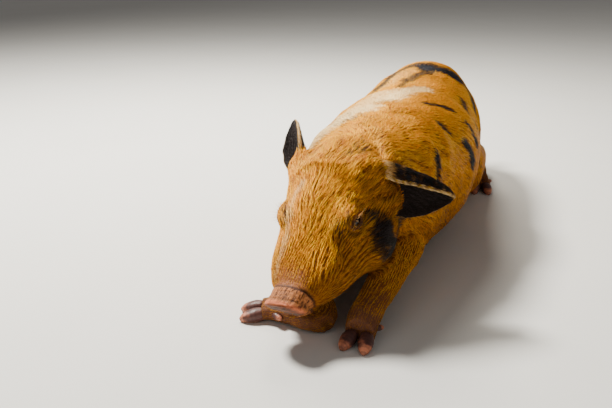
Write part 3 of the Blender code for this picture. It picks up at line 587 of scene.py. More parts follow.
def thinned(points, faces, fine):
    """Fewer triangles where fine is low."""
    obj = object_of("thin", mesh_of("thin", points, faces))
    group = obj.vertex_groups.new(name="coarse")
    steps = np.round(1 - 0.92 * fine, 1)
    for step in np.unique(steps):
        group.add(np.flatnonzero(steps == step).tolist(), float(step), "REPLACE")
    fewer = obj.modifiers.new("Fewer", "DECIMATE")
    fewer.ratio = SKIN_TRIANGLES / len(faces)
    fewer.vertex_group = group.name
    fewer.vertex_group_factor = 0.003
    points, faces = arrays(applied(obj))
    bpy.data.objects.remove(obj, do_unlink=True)
    return points, faces


def shaped_skin():
    """The skin: remeshed, thinned, smoothed, drawn in by the coat's depth and given its folds."""
    points, faces = largest(*remeshed_flesh())
    local = in_head(points)
    fine = 0.25 + 0.45 * smoothstep(0.21, 0.17, local[:, 1])
    fine = np.maximum(fine, smoothstep(0.050, 0.025, local[:, 1]))
    for ball in EYE_BALLS:
        fine = np.maximum(fine, smoothstep(0.026, 0.014, np.linalg.norm(points - ball, axis=1)))
    for sheet in SHEETS:
        fine = np.maximum(fine, 0.7 * smoothstep(0.070, 0.055, np.linalg.norm(points - sheet.middle, axis=1)))
    points, faces = thinned(points, faces, fine)
    edges = edges_of(faces)
    points = smoothed(points, edges, SMOOTHINGS)
    owners = owners_of(points)
    soft = 0.6 * smoothstep(BROW_REACH, 0.4 * BROW_REACH, np.linalg.norm(points - BROW_STEP, axis=1))[:, None]
    for _ in range(BROW_ROUNDS):
        points = points + soft * (spread(points, edges) - points)
    points = points - normals_of(points, faces) * coat_depth(points, owners, edges)[:, None]
    points = folded(points, faces)
    points[:, 2] = np.maximum(points[:, 2], FLOOR_CLEAR)
    return points, faces, edges, owners


def blurred(values, edges, rounds):
    values = np.asarray(values, float).reshape(len(values), -1)
    for _ in range(rounds):
        values = 0.35 * values + 0.65 * spread(values, edges)
    return values


def coat_depth(points, owners, edges):
    """How far the skin is drawn in at each point, to leave room for the coat."""
    depth = np.full(len(points), BODY_DEPTH)
    for name, deep in DEPTHS.items():
        depth[on(owners, name)] = deep
    along = in_head(points)[:, 1]
    depth = np.where(on(owners, *HEAD_PARTS), np.interp(along, *HEAD_DEPTHS), depth)
    return blurred(depth, edges, 6)[:, 0]


def eye_frame(side):
    """The middle of an eye, the way it looks, the way back along its slit, and up."""
    centre = EYE_BALLS[0 if side > 0 else 1]
    turn = np.array(HEAD.to_3x3())
    look = turn @ np.array((side * EYE_LOOK.x, EYE_LOOK.y, EYE_LOOK.z))
    look /= np.linalg.norm(look)
    back = turn @ np.array((0, 1, 0.16))
    back -= look * (back @ look)
    back /= np.linalg.norm(back)
    up = np.cross(look, back)
    if up @ turn[:, 2] < 0:
        up = -up
    return centre, look, back, up


def by_eye(points, side):
    """Each point's place by an eye: back along its slit, up, and out the way it looks."""
    centre, look, back, up = eye_frame(side)
    off = points - centre
    return off @ back, off @ up, off @ look


def groove(distance, half):
    """1 in the middle of a groove, falling smoothly to 0."""
    return np.exp(-((distance / half) ** 2))


def metres(rows):
    """Rows of a path and two sizes, from millimetres to metres."""
    return [(np.array(path) / 1000, deep / 1000, half / 1000) for path, deep, half in rows]


def folded(points, faces):
    """Sinks the line of the mouth, the snout's creases, the folds of lids, neck and shoulder."""
    normals = normals_of(points, faces)
    local = in_head(points)
    sink = np.zeros(len(points))
    x, y, z = local.T
    near_head = (y > -0.02) & (y < 0.19) & (np.abs(x) < 0.075) & (np.abs(z) < 0.09)

    lip = np.interp(y, *np.transpose(LIP_LINE))
    along = smoothstep(-0.004, 0.008, y) * smoothstep(0.084, 0.074, y) * near_head
    sink += 0.0016 * along * groove(z - lip, 0.0011)
    sink -= 0.0007 * along * groove(z - lip - 0.0034, 0.0022)

    top = smoothstep(-0.012, 0.004, z) * near_head
    back = upright(local)
    for place, deep, half in SNOUT_CREASES:
        bent = back - place - trailing(local) + 0.0006 * ripple(local, 0.012, 3)
        sink += deep * top * groove(bent, half)

    for side in (1, -1):
        a, b, out = by_eye(points, side)
        here = smoothstep(-0.004, 0.004, out) * smoothstep(0.034, 0.022, np.hypot(a, b))
        for reach, flat, deep, half, way in LID_FOLDS:
            ring = np.hypot(a, b * flat) - reach
            sink += deep * here * smoothstep(-0.004, 0.006, b * way) * groove(ring, half)
        sink -= 0.0010 * here * groove(np.hypot(a, b * 1.6) - 0.0092, 0.0016)

    for path, deep, half in metres(BODY_FOLDS):
        distance, _, _, share = to_path(points, path)
        ends = smoothstep(0, 0.2, share) * smoothstep(1, 0.8, share)
        sink += deep * ends * (groove(distance, half) - 0.35 * groove(distance - 2.2 * half, half))

    sink -= 0.0026 * groove(np.linalg.norm(points - BROW_FOOT, axis=1), 0.0110)

    body = 1 - near_head
    for path, deep, half in metres(BODY_FORMS):
        for side in (1, -1):
            sink += deep * body * groove(to_path(points, path * (side, 1, 1))[0], half)
    sink += body * 0.0005 * ripple(points, 0.05, 11) + body * 0.00018 * ripple(points, 0.012, 12)
    return points - normals * sink[:, None]


# Markings, painted light and shade, and regions

def strokes_at(points, strokes, seed):
    """How much of each point a list of strokes covers, with ragged edges."""
    total = np.zeros(len(points))
    rough = 0.30 * ripple(points, 0.016, seed) + 0.22 * ripple(points, 0.005, seed + 1)
    for path, radius, amount in strokes:
        distance = to_path(points, np.array(path) / 1000)[0]
        cover = smoothstep(1.30, 0.72, distance / (radius / 1000) + 0.8 * rough)
        total = np.maximum(total, amount * cover)
    return total


class Regions:
    """What the skin and the coat both need to know about a set of points on the skin."""

    def __init__(self, points, normals, owners):
        local = in_head(points)
        self.local = local
        self.owners = owners
        is_head = on(owners, *HEAD_PARTS)
        self.back = upright(local)
        self.snout = is_head * smoothstep(0.0195, 0.0160, self.back - trailing(local))
        self.nose = is_head * smoothstep(0.052, 0.026, local[:, 1]) * smoothstep(0.0, 0.012, local[:, 2])
        self.nose *= smoothstep(0.024, 0.012, np.abs(local[:, 0]) + 0.003 * ripple(local, 0.012, 54))
        self.black = strokes_at(points, BLACK, 21)
        self.grey = strokes_at(points, GREY_AND_SHADE, 31)
        self.pale = strokes_at(points, PALE_AND_HIGHLIT, 41)
        self.ear, self.inside, self.edge = np.zeros((3, len(points)))
        self.along_ear, self.across_ear = np.zeros((2, len(points)))
        for name, sheet in zip(EAR_NAMES, SHEETS):
            mine = on(owners, name)
            spots = points[mine]
            along, across, edge, inside = sheet.at(spots, normals[mine])
            self.ear[mine], self.inside[mine] = 1, inside
            self.along_ear[mine], self.across_ear[mine] = along, across
            rim = smoothstep(0.0044, 0.0014, edge + 0.0009 * ripple(spots, 0.008, 52)) * (1 - 0.8 * inside)
            rim *= smoothstep(0.04, 0.12, along)
            self.edge[mine] = rim
            base = smoothstep(0.26, 0.08, along + 0.05 * ripple(spots, 0.015, 51))
            outer = (1 - base) * (0.98 - 0.04 * ripple(spots, 0.010, 53)) * (1 - 0.85 * rim)
            # The hollow side of the ear is black: its black hair, and painted shade in the hollow
            self.black[mine] = np.clip(np.maximum(outer * (1 - inside), 0.98 * inside), 0, 1)
            self.pale[mine] = np.maximum(0.95 * rim, 0.55 * base * (1 - inside))
        self.foot = np.zeros(len(points))
        for name, path in LEG_PATHS.items():
            mine = on(owners, name)
            share = to_path(points, path)[3]
            self.foot[mine] = smoothstep(*FOOT_FROM[name], share)[mine]
        self.lids = np.zeros(len(points))
        for side in (1, -1):
            a, b, out = by_eye(points, side)
            lid = is_head * (out > 0) * smoothstep(0.0078, 0.0048, np.hypot(a / 1.6, b))
            self.lids = np.maximum(self.lids, lid)
        lip = np.interp(local[:, 1], *np.transpose(LIP_LINE))
        self.lips = is_head * smoothstep(0.088, 0.070, local[:, 1]) * groove(local[:, 2] - lip, 0.0022)


# The lie of the coat

def locks(points, ways, seed):
    """Noise drawn out along the lie, about 0: where the hair gathers in locks and where it parts."""
    steps = np.linspace(-LOCK_REACH, LOCK_REACH, 11)
    total = sum(ripple(points + ways * step, LOCK_SIZE, seed) for step in steps)
    return np.clip(2.4 * total / len(steps), -1.2, 1.2)


def lie_of(points, normals, owners, edges):
    """The way the hair lies at each point of the skin."""
    local = in_head(points)
    way = np.zeros_like(points)
    side = points[:, 0] - MIDLINE
    down = np.stack([side * 0, side * 0, -np.ones(len(points))], axis=1)
    around = np.stack([np.sign(side), 0 * side, 0 * side], axis=1)
    fall = smoothstep(0.004, 0.050, np.abs(side))[:, None]
    way[:] = (0, 1, 0)
    way += fall * (0.75 * around * smoothstep(0.13, 0.17, points[:, 2])[:, None] + 0.85 * down)
    rump = smoothstep(0.24, 0.31, points[:, 1])[:, None]
    way += rump * (down * 1.3 + around * 0.3)

    turn = np.array(HEAD.to_3x3())
    x, y, z = local.T
    cheek = smoothstep(0.012, -0.030, z)
    head_way = np.stack([
        0.55 * np.clip(x / 0.045, -1, 1) * smoothstep(0.03, 0.10, y),
        np.ones(len(points)),
        0.28 * (1 - cheek) - 0.55 * cheek,
    ], axis=1)
    is_head = on(owners, *HEAD_PARTS)
    way[is_head] = (head_way @ turn.T)[is_head]
    for eye in (1, -1):
        centre, look, back, up = eye_frame(eye)
        off = points - centre
        a, b = off @ back, off @ up
        pull = is_head * smoothstep(0.028, 0.010, np.hypot(a, b))
        out = unit(np.outer(a, back) + np.outer(b, up))
        way += (pull * 0.9)[:, None] * out

    for name, path in LEG_PATHS.items():
        mine = on(owners, name)
        legs = to_path(points, path)[1]
        way[mine] = legs[mine]
    for name, sheet in zip(EAR_NAMES, SHEETS):
        way[on(owners, name)] = sheet.tip
    mine = on(owners, "tail")
    way[mine] = to_path(points, TAIL_PATH)[1][mine]

    way = unit(way - normals * (way * normals).sum(axis=1, keepdims=True))
    for _ in range(6):
        way = blurred(way, edges, 8)
        way = unit(way - normals * (way * normals).sum(axis=1, keepdims=True))
    across = np.cross(normals, way)
    swirl = 0.16 * ripple(points, 0.060, 61) + 0.10 * ripple(points, 0.020, 62)
    return unit(way + across * swirl[:, None])


def hair_sizes(points, regions):
    """Length, width, height of the tip over the skin, and density of the tufts rooted there."""
    owners = regions.owners
    tables = (HEAD_LENGTHS, HEAD_WIDTHS, HEAD_LIFTS, HEAD_DENSITY)
    length, width, lift, dense = (
        np.where(on(owners, *HEAD_PARTS), np.interp(regions.local[:, 1], *table), usual)
        for table, usual in zip(tables, (*BODY_TUFT, 1.0))
    )
    for name in EAR_NAMES:
        mine = on(owners, name)
        length[mine] = np.interp(regions.along_ear, (0, 0.3, 1), (0.0085, 0.0048, 0.0036))[mine]
        width[mine] = 0.00050
        lift[mine] = np.interp(regions.along_ear, (0, 0.3, 1), (0.0014, 0.0007, 0.0005))[mine]
        dense[mine] = (1.5 + 0.7 * (1 - regions.inside))[mine]
    for name in LEG_PATHS:
        mine = on(owners, name)
        length[mine] = (0.0090 - 0.0062 * regions.foot)[mine]
        width[mine] = (0.00080 - 0.00034 * regions.foot)[mine]
        lift[mine] = (0.0010 - 0.0006 * regions.foot)[mine]
        dense[mine] = (0.95 + 0.6 * regions.foot)[mine]
    mine = on(owners, "tail")
    length[mine], width[mine], dense[mine] = 0.0065, 0.00060, 1.8
    lift[mine] = 0.0008
    lids = smoothstep(0, 1, regions.lids)
    length *= 1 - 0.5 * regions.lips
    dense *= (1 - 0.97 * np.maximum.reduce([regions.snout, lids, 0.8 * regions.lips, 0.35 * regions.nose]))
    lift = lift * (1 + 0.8 * regions.nose)
    dense *= smoothstep(0.0015, 0.006, points[:, 2])
    below = on(owners, "torso") & (points[:, 2] < 0.02)
    dense[below] *= 0.6
    return length, width, lift, dense


def coat_roots(points, faces, normals, dense, count, rng):
    """Picks roots on the skin: triangle and barycentric share of each."""
    corners = points[faces]
    across = np.cross(corners[:, 1] - corners[:, 0], corners[:, 2] - corners[:, 0])
    area = 0.5 * np.linalg.norm(across, axis=1)
    weight = area * dense[faces].mean(axis=1)
    total = np.cumsum(weight)
    steps = (np.arange(count) + rng.random(count)) * total[-1] / count
    picked = np.searchsorted(total, steps).clip(0, len(faces) - 1)
    a, b = rng.random(count), rng.random(count)
    flip = a + b > 1
    a[flip], b[flip] = 1 - a[flip], 1 - b[flip]
    shares = np.stack([1 - a - b, a, b], axis=1)
    return picked, shares


def tuft_mesh(name, roots, mids, tips, sides, ups, widths, marks_and_light, hairs, patches):
    """Closed three-sided tufts, thickest short of their middle, each with a patch of the bake map."""
    half = (sides * widths[:, None]) / 2
    high = ups * (widths * TUFT_HIGH)[:, None]
    points = np.stack([roots, mids - half, mids + half, mids + high, tips], axis=1).reshape(-1, 3)
    points[:, 2] = np.maximum(points[:, 2], HAIR_CLEAR)
    each = len(TUFT_ALONG)
    faces = (np.array(TUFT_FACES)[None] + each * np.arange(len(roots))[:, None, None]).reshape(-1, 3)
    mesh = mesh_of(name, points, faces)
    paint_points(mesh, "MarksAndLight", *np.repeat(marks_and_light, each, axis=0).T)
    along = np.tile(TUFT_ALONG, len(roots))
    paint_points(mesh, "Hair", np.repeat(hairs[:, 0], each), along, np.repeat(hairs[:, 1], each))
    spots = patches[:, None, :] + PATCH * np.array(TUFT_SPOTS)[None]
    layer = mesh.uv_layers.new(name="OFBake")
    layer.data.foreach_set("uv", spots.reshape(-1, 2)[faces.ravel()].astype(np.float32).ravel())
    return mesh


def unwrap(points, regions):
    """Where each root lies on a flat map of the skin, part by part."""
    place = np.zeros((len(points), 2))
    owners, local = regions.owners, regions.local

    def into(mine, box, across, along):
        left, right, low, high = box
        place[mine, 0] = left + (right - left) * np.clip(across, 0, 1)[mine]
        place[mine, 1] = low + (high - low) * np.clip(along, 0, 1)[mine]

    around = np.arctan2(points[:, 0] - MIDLINE, points[:, 2] - 0.095) / (2 * math.pi) + 0.5
    into(on(owners, *BODY_PARTS), MAPS["body"], around, (points[:, 1] + 0.33) / 0.66)
    around = np.arctan2(local[:, 0], local[:, 2]) / (2 * math.pi) + 0.5
    into(on(owners, *HEAD_PARTS), MAPS["head"], around, (local[:, 1] + 0.005) / 0.205)
    for name in (*LEG_PATHS, "tail"):
        path = TAIL_PATH if name == "tail" else LEG_PATHS[name]
        _, way, off, share = to_path(points, path)
        flat = np.cross(way, (0, 0, 1))
        around = np.arctan2((off * unit(flat)).sum(axis=1), off[:, 2]) / (2 * math.pi) + 0.5
        into(on(owners, name), MAPS[name], around, share)
    for name in EAR_NAMES:
        mine = on(owners, name)
        across = regions.across_ear / 2 + 0.5
        into(mine & (regions.inside > 0.5), MAPS[name + "_in"], across, regions.along_ear)
        into(mine & (regions.inside <= 0.5), MAPS[name], across, regions.along_ear)
    return place


def grow_coat(points, faces, normals, ways, owners, count, material):
    """The coat, in pieces by region."""
    rng = np.random.default_rng(5)
    skin = Regions(points, normals, owners)
    length, width, lift, dense = hair_sizes(points, skin)
    picked, shares = coat_roots(points, faces, normals, dense, count, rng)
    ends = faces[picked]

    def at(values):
        if values.ndim == 1:
            return (values[ends] * shares).sum(axis=1)
        return (values[ends] * shares[:, :, None]).sum(axis=1)

    roots, ups, lies = at(points), unit(at(normals)), unit(at(ways))
    owner = owners[ends[:, 0]]
    long, wide, high = at(length), at(width), at(lift)
    sides = unit(np.cross(lies, ups))
    lock = locks(roots, lies, 71)
    inward = locks(roots + sides * LOCK_HALF, lies, 71) - locks(roots - sides * LOCK_HALF, lies, 71)
    turn = rng.normal(0, 0.07, count) + 0.06 * ripple(roots, 0.020, 72) + 0.09 * np.clip(inward, -1.5, 1.5)
    lies = unit(lies + sides * turn[:, None])
    long = long * rng.uniform(0.72, 1.18, count)
    stray = rng.random(count) < STRAY_SHARE
    long = np.where(stray, long * 1.3, long)
    wide = wide * rng.uniform(0.75, 1.2, count) * np.where(stray, 0.6, 1)
    wide = wide * WIDER
    high = high * np.clip(rng.uniform(0.45, 1.0, count) + 0.26 * lock, 0.15, 1.6) + np.where(stray, 0.0008, 0)
    tree = tree_of(points, faces)
    mids = roots + lies * (long * TUFT_MIDDLE)[:, None]
    tips = roots + lies * long[:, None] + sides * (long * rng.normal(0, 0.07, count))[:, None]
    mids = laid(tree, mids, ups, high * 0.55)
    tips = laid(tree, tips, ups, high)
    roots = roots - ups * TUFT_ROOT
    way = unit(tips - roots)
    sides = unit(np.cross(way, ups))

    regions = Regions(at(points), ups, owner)
    # Black, pale and grey: markings, with painted highlight in the pale share and painted shade in the grey
    # share and in the black of the ear's hollow
    marks_and_light = np.stack([regions.black, regions.pale, regions.grey], axis=1)
    jitter = rng.normal(0, 0.12, (count, 3))
    marks_and_light = np.clip(marks_and_light + jitter * (marks_and_light > 0.04) * (marks_and_light < 0.96), 0, 1)
    # Tone: at random, and lower where the hair parts between locks, which the coat's material turns into
    # painted shade
    tone = 0.5 + 0.40 * lock + 0.05 * ripple(roots, 0.012, 73) + rng.normal(0, 0.18, count)
    on_body, on_head = on(owner, *BODY_PARTS), on(owner, *HEAD_PARTS)
    # Painted light and shade: the tone is raised on the top of the body, where the light falls, and lowered
    # on the lower flanks and the lower face, where shade falls
    above, below = smoothstep(0.115, 0.165, roots[:, 2]), smoothstep(0.100, 0.050, roots[:, 2])
    tone += on_body * (0.34 * above - 0.14 * below)
    tone -= on_head * 0.14 * smoothstep(0.002, -0.022, regions.local[:, 2])
    tone = np.clip(tone, 0, 1)
    zone = np.maximum(regions.foot, 0.6 * smoothstep(0.050, 0.018, regions.local[:, 1]) * on_head)
    hairs = np.stack([tone, zone], axis=1)
    place = unwrap(at(points), regions)

    for name, mine in coat_pieces(owner, roots):
        mesh = tuft_mesh(
            name, roots[mine], mids[mine], tips[mine], sides[mine], ups[mine], wide[mine],
            marks_and_light[mine], hairs[mine], place[mine],
        )
        piece = object_of(name, mesh, material)
        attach(piece, "root")
        print(name, len(mesh.polygons))


def coat_pieces(owner, roots):
    """The name of each piece of the coat, and which tufts it holds."""
    y, x = roots[:, 1], roots[:, 0]
    head = on(owner, *HEAD_PARTS)
    ear = on(owner, *EAR_NAMES)
    leg = on(owner, *LEG_PATHS)
    tail = on(owner, "tail")
    body = ~(head | ear | leg | tail)
    pieces = [("coat_ears", ear), ("coat_tail", tail)]
    pieces += [(f"coat_{name}", on(owner, name)) for name in LEG_PATHS]
    pieces += [("coat_head_left", head & (x > -0.022)), ("coat_head_right", head & (x <= -0.022))]
    edges = (-1, -0.06, 0.06, 0.18, 1)
    for low, high, name in zip(edges, edges[1:], ("shoulders", "middle", "loins", "rump")):
        band = body & (y >= low) & (y < high)
        pieces.append((f"coat_{name}_left", band & (x > 0)))
        pieces.append((f"coat_{name}_right", band & (x <= 0)))
    return pieces


def laid(tree, points, ups, heights):
    """Each point moved to its height over the skin nearest to it."""
    placed = points.copy()
    for k, point in enumerate(points):
        near, normal, _, _ = tree.find_nearest(point)
        if normal.dot(Vector(ups[k])) < -0.2:
            continue
        placed[k] = near + normal * heights[k]
    placed[:, 2] = np.maximum(placed[:, 2], LAID_CLEAR)
    return placed


# Materials

class Shader:
    """A material made node by node, with one Principled shader at its end."""

    def __init__(self, name, **fixed):
        self.material = bpy.data.materials.new(name)
        self.material.use_nodes = True
        self.tree = self.material.node_tree
        self.tree.nodes.clear()
        self.end = self.tree.nodes.new("ShaderNodeBsdfPrincipled")
        output = self.tree.nodes.new("ShaderNodeOutputMaterial")
        self.tree.links.new(self.end.outputs["BSDF"], output.inputs["Surface"])
        for socket, value in fixed.items():
            self.end.inputs[socket.replace("_", " ")].default_value = value

    def put(self, socket, value):
        if isinstance(value, bpy.types.NodeSocket):
            self.tree.links.new(value, socket)
        else:
            socket.default_value = value

    def finish(self, **values):
        for socket, value in values.items():
            self.put(self.end.inputs[socket.replace("_", " ")], value)
        return self.material

    def math(self, operation, *values):
        node = self.tree.nodes.new("ShaderNodeMath")
        node.operation = operation
        for socket, value in zip(node.inputs, values):
            self.put(socket, value)
        return node.outputs[0]

    def times(self, first, second):
        return self.math("MULTIPLY", first, second)

    def mix(self, share, first, second):
        node = self.tree.nodes.new("ShaderNodeMix")
        node.data_type = "RGBA"
        self.put(node.inputs[0], share)
        self.put(node.inputs[6], first)
        self.put(node.inputs[7], second)
        return node.outputs[2]

    def ramp(self, value, low, high, to_low=0.0, to_high=1.0):
        node = self.tree.nodes.new("ShaderNodeMapRange")
        node.interpolation_type = "SMOOTHSTEP"
        for socket, number in zip(node.inputs, (value, low, high, to_low, to_high)):
            self.put(socket, number)
        return node.outputs[0]

    def place(self, stretch=(1, 1, 1), attribute=None):
        """Object coordinates, or a kept place, stretched."""
        mapping = self.tree.nodes.new("ShaderNodeMapping")
        mapping.inputs["Scale"].default_value = stretch
        if attribute:
            source = self.tree.nodes.new("ShaderNodeAttribute")
            source.attribute_name = attribute
            self.put(mapping.inputs["Vector"], source.outputs["Vector"])
        else:
            source = self.tree.nodes.new("ShaderNodeTexCoord")
            self.put(mapping.inputs["Vector"], source.outputs["Object"])
        return mapping.outputs["Vector"]

    def noise(self, place, scale, detail=3.0, rough=0.5):
        node = self.tree.nodes.new("ShaderNodeTexNoise")
        self.put(node.inputs["Vector"], place)
        node.inputs["Scale"].default_value = scale
        node.inputs["Detail"].default_value = detail
        node.inputs["Roughness"].default_value = rough
        return node.outputs["Fac"]

    def cells(self, place, scale):
        node = self.tree.nodes.new("ShaderNodeTexVoronoi")
        self.put(node.inputs["Vector"], place)
        node.inputs["Scale"].default_value = scale
        return node.outputs["Distance"]

    def kept(self, name):
        """The three values kept at each point of the mesh."""
        source = self.tree.nodes.new("ShaderNodeAttribute")
        source.attribute_name = name
        parts = self.tree.nodes.new("ShaderNodeSeparateColor")
        self.put(parts.inputs[0], source.outputs["Color"])
        return parts.outputs

    def bump(self, height, distance, strength=1.0, normal=None):
        node = self.tree.nodes.new("ShaderNodeBump")
        node.inputs["Strength"].default_value = strength
        node.inputs["Distance"].default_value = distance
        self.put(node.inputs["Height"], height)
        if normal:
            self.put(node.inputs["Normal"], normal)
        return node.outputs["Normal"]


def srgb(red, green, blue):
    """A colour given as seen on a screen, 0 to 255."""
    def linear(c):
        return c / 255 / 12.92 if c < 10 else ((c / 255 + 0.055) / 1.055) ** 2.4

    return (linear(red), linear(green), linear(blue), 1.0)


ORANGE_ROOT = srgb(98, 48, 0)
ORANGE = srgb(214, 130, 0)
ORANGE_TIP = srgb(255, 196, 24)
CREAM = srgb(252, 224, 168)
BLACK_HAIR = srgb(9, 8, 9)
GREY_HAIR_AND_SHADE = srgb(62, 46, 40)
BLACK_TIP_SHEEN = srgb(54, 52, 64)
FOOT_HAIR = srgb(112, 72, 40)
SKIN_TAN = srgb(176, 104, 20)
SKIN_DARK = srgb(14, 11, 12)
SNOUT_SHADED_PINK = srgb(98, 54, 34)
SNOUT_SHADED_BROWN = srgb(40, 24, 16)
SNOUT_PALE = srgb(190, 118, 66)
SNOUT_EDGE_HIGHLIGHT = srgb(222, 122, 80)


def coat_material():
    shader = Shader("coat", Specular_IOR_Level=0.14)
    black, pale, grey = shader.kept("MarksAndLight")[:3]
    tone, along, zone = shader.kept("Hair")[:3]
    place = shader.place()
    patchy = shader.noise(place, 45, 2)
    # Painted shade and light through the coat's depth: darker towards each tuft's root and where the tone is
    # low, lighter at its tip
    body = shader.mix(shader.ramp(along, 0.0, 0.45), ORANGE_ROOT, ORANGE)
    light = shader.times(shader.ramp(along, 0.25, 0.95), shader.ramp(tone, 0.3, 0.95))
    body = shader.mix(light, body, ORANGE_TIP)
    body = shader.mix(shader.ramp(tone, 0.55, 0.12, 0.0, 0.92), body, ORANGE_ROOT)
    # Pale hair, and painted highlight where the pale strokes lie
    body = shader.mix(shader.times(pale, shader.ramp(tone, 0.1, 0.75, 0.35, 1.0)), body, CREAM)
    brown = shader.times(zone, shader.ramp(patchy, 0.35, 0.65, 0.3, 0.75))
    body = shader.mix(brown, body, FOOT_HAIR)
    # Grey hair, and painted shade in the folds and round the left eye
    body = shader.mix(shader.times(grey, shader.ramp(tone, 0.85, 0.3)), body, GREY_HAIR_AND_SHADE)
    # Painted sheen: black hair turns blue-grey towards its tip
    dark = shader.mix(shader.times(along, shader.ramp(tone, 0.3, 0.95)), BLACK_HAIR, BLACK_TIP_SHEEN)
    colour = shader.mix(black, body, dark)
    rough = shader.ramp(shader.noise(place, 300, 2), 0.3, 0.7, 0.46, 0.62)
    streak = shader.noise(shader.place((1, 0.15, 1)), 2600, 2)
    return shader.finish(Base_Color=colour, Roughness=rough, Normal=shader.bump(streak, 0.0001, 0.5))


def hide_material():
    shader = Shader(
        "hide", Specular_IOR_Level=0.16, Subsurface_Radius=(0.004, 0.0015, 0.0008), Subsurface_Scale=0.5,
    )
    black, pale, grey = shader.kept("MarksAndLight")[:3]
    snout, foot, nose_top = shader.kept("Skin")[:3]
    lip, crease_shade, rim = shader.kept("Fine")[:3]
    place = shader.place()
    head = shader.place((1, 1, 1), "HeadPlace")
    mottle = shader.noise(place, 110, 4)
    colour = shader.mix(mottle, ORANGE_ROOT, SKIN_TAN)
    # As on the coat: pale hair with painted highlight, and grey hair with painted shade
    colour = shader.mix(shader.times(pale, 0.7), colour, ORANGE_TIP)
    colour = shader.mix(shader.times(grey, 0.7), colour, GREY_HAIR_AND_SHADE)
    feet = shader.mix(shader.noise(place, 160, 3), srgb(80, 50, 40), srgb(126, 80, 62))
    colour = shader.mix(foot, colour, feet)
    # Black patches, and the ear's hollow, which is dark partly as painted shade
    colour = shader.mix(black, colour, SKIN_DARK)
    brown = shader.mix(shader.noise(head, 300, 4), srgb(132, 80, 54), srgb(196, 128, 88))
    colour = shader.mix(shader.times(nose_top, 0.85), colour, brown)
    wrinkles = shader.noise(shader.place((3.0, 0.35, 1.0), "HeadPlace"), 260, 4, 0.6)
    cross = shader.noise(shader.place((0.5, 3.0, 1.0), "HeadPlace"), 260, 4, 0.6)
    # Painted shade: the snout's disc, and the grooves between the band's wrinkles, are dark brown as if in
    # shadow
    nose = shader.mix(shader.ramp(cross, 0.35, 0.65), SNOUT_SHADED_BROWN, SNOUT_SHADED_PINK)
    nose = shader.mix(shader.times(rim, shader.ramp(wrinkles, 0.38, 0.56)), nose, SNOUT_PALE)
    # Painted highlight on pink skin: the upper edge of the disc is light salmon
    nose = shader.mix(shader.times(lip, shader.ramp(cross, 0.25, 0.6, 0.5, 0.95)), nose, SNOUT_EDGE_HIGHLIGHT)
    colour = shader.mix(snout, colour, nose)
    # Painted shade in the creases: the line of the mouth, the edges of the lids, and across the snout
    colour = shader.mix(shader.times(crease_shade, 0.85), colour, srgb(48, 28, 24))
    pores = shader.cells(place, 900)
    fine = shader.noise(place, 1400, 3)
    skin = shader.math("ADD", shader.times(pores, 0.6), fine)
    normal = shader.bump(skin, 0.00035, 0.7)
    height = shader.times(shader.math("ADD", wrinkles, cross), snout)
    normal = shader.bump(height, 0.0011, 0.9, normal)
    rough = shader.math("MULTIPLY_ADD", snout, -0.10, 0.62)
    uneven = shader.math("ADD", rough, shader.ramp(mottle, 0.3, 0.7, -0.06, 0.08))
    return shader.finish(Base_Color=colour, Roughness=uneven, Normal=normal)


def eye_material():
    shader = Shader("eye", Coat_Weight=0.35, Coat_Roughness=0.05, Specular_IOR_Level=0.3)
    iris, pupil, streak = shader.kept("Iris")[:3]
    place = shader.place()
    fibres = shader.noise(place, 1600, 4, 0.7)
    brown = shader.mix(shader.ramp(fibres, 0.35, 0.65), srgb(38, 20, 10), srgb(96, 56, 26))
    brown = shader.mix(shader.ramp(iris, 0.55, 0.95), brown, srgb(22, 12, 8))
    white = shader.mix(shader.noise(place, 500, 3), srgb(120, 86, 72), srgb(168, 136, 118))
    colour = shader.mix(shader.ramp(iris, 0.96, 1.06), brown, white)
    colour = shader.mix(shader.ramp(pupil, 0.92, 1.08, 1.0, 0.0), colour, srgb(4, 3, 3))
    rough = shader.ramp(fibres, 0.3, 0.7, 0.12, 0.2)
    return shader.finish(Base_Color=colour, Roughness=rough)


def horn_material():
    shader = Shader("horn", Specular_IOR_Level=0.30, Coat_Weight=0.05, Coat_Roughness=0.4)
    along, ring, under = shader.kept("Horn")[:3]
    place = shader.place()
    cloudy = shader.noise(place, 120, 4)
    fine = shader.noise(place, 900, 4, 0.6)
    dark = shader.mix(cloudy, srgb(66, 42, 42), srgb(108, 68, 60))
    tip = shader.mix(fine, srgb(176, 96, 70), srgb(216, 140, 104))
    share = shader.math("ADD", along, shader.ramp(cloudy, 0.3, 0.7, -0.25, 0.25))
    colour = shader.mix(shader.ramp(share, 0.45, 1.0), dark, tip)
    colour = shader.mix(shader.ramp(ring, 0.4, 1.0, 0.0, 0.35), colour, srgb(48, 30, 28))
    colour = shader.mix(shader.times(under, 0.6), colour, srgb(150, 112, 92))
    rough = shader.ramp(fine, 0.3, 0.7, 0.36, 0.58)
    return shader.finish(Base_Color=colour, Roughness=rough, Normal=shader.bump(fine, 0.0003, 0.6))


def bristle_material():
    shader = Shader("bristle", Specular_IOR_Level=0.4)
    tone, along, _ = shader.kept("Hair")[:3]
    fine = shader.noise(shader.place(), 800, 2)
    colour = shader.mix(shader.ramp(along, 0.0, 0.8), srgb(168, 104, 46), srgb(236, 190, 124))
    colour = shader.mix(shader.ramp(tone, 0.5, 0.1, 0.0, 0.6), colour, srgb(72, 46, 34))
    colour = shader.mix(shader.ramp(fine, 0.3, 0.7, 0.0, 0.2), colour, srgb(120, 70, 36))
    return shader.finish(Base_Color=colour, Roughness=shader.ramp(fine, 0.3, 0.7, 0.4, 0.55))


def floor_material():
    shader = Shader("floor", Specular_IOR_Level=0.2)
    cloudy = shader.noise(shader.place(), 6, 3)
    colour = shader.mix(cloudy, srgb(226, 224, 220), srgb(232, 230, 227))
    return shader.finish(Base_Color=colour, Roughness=0.85)


# Eyes, hoofs and single hairs

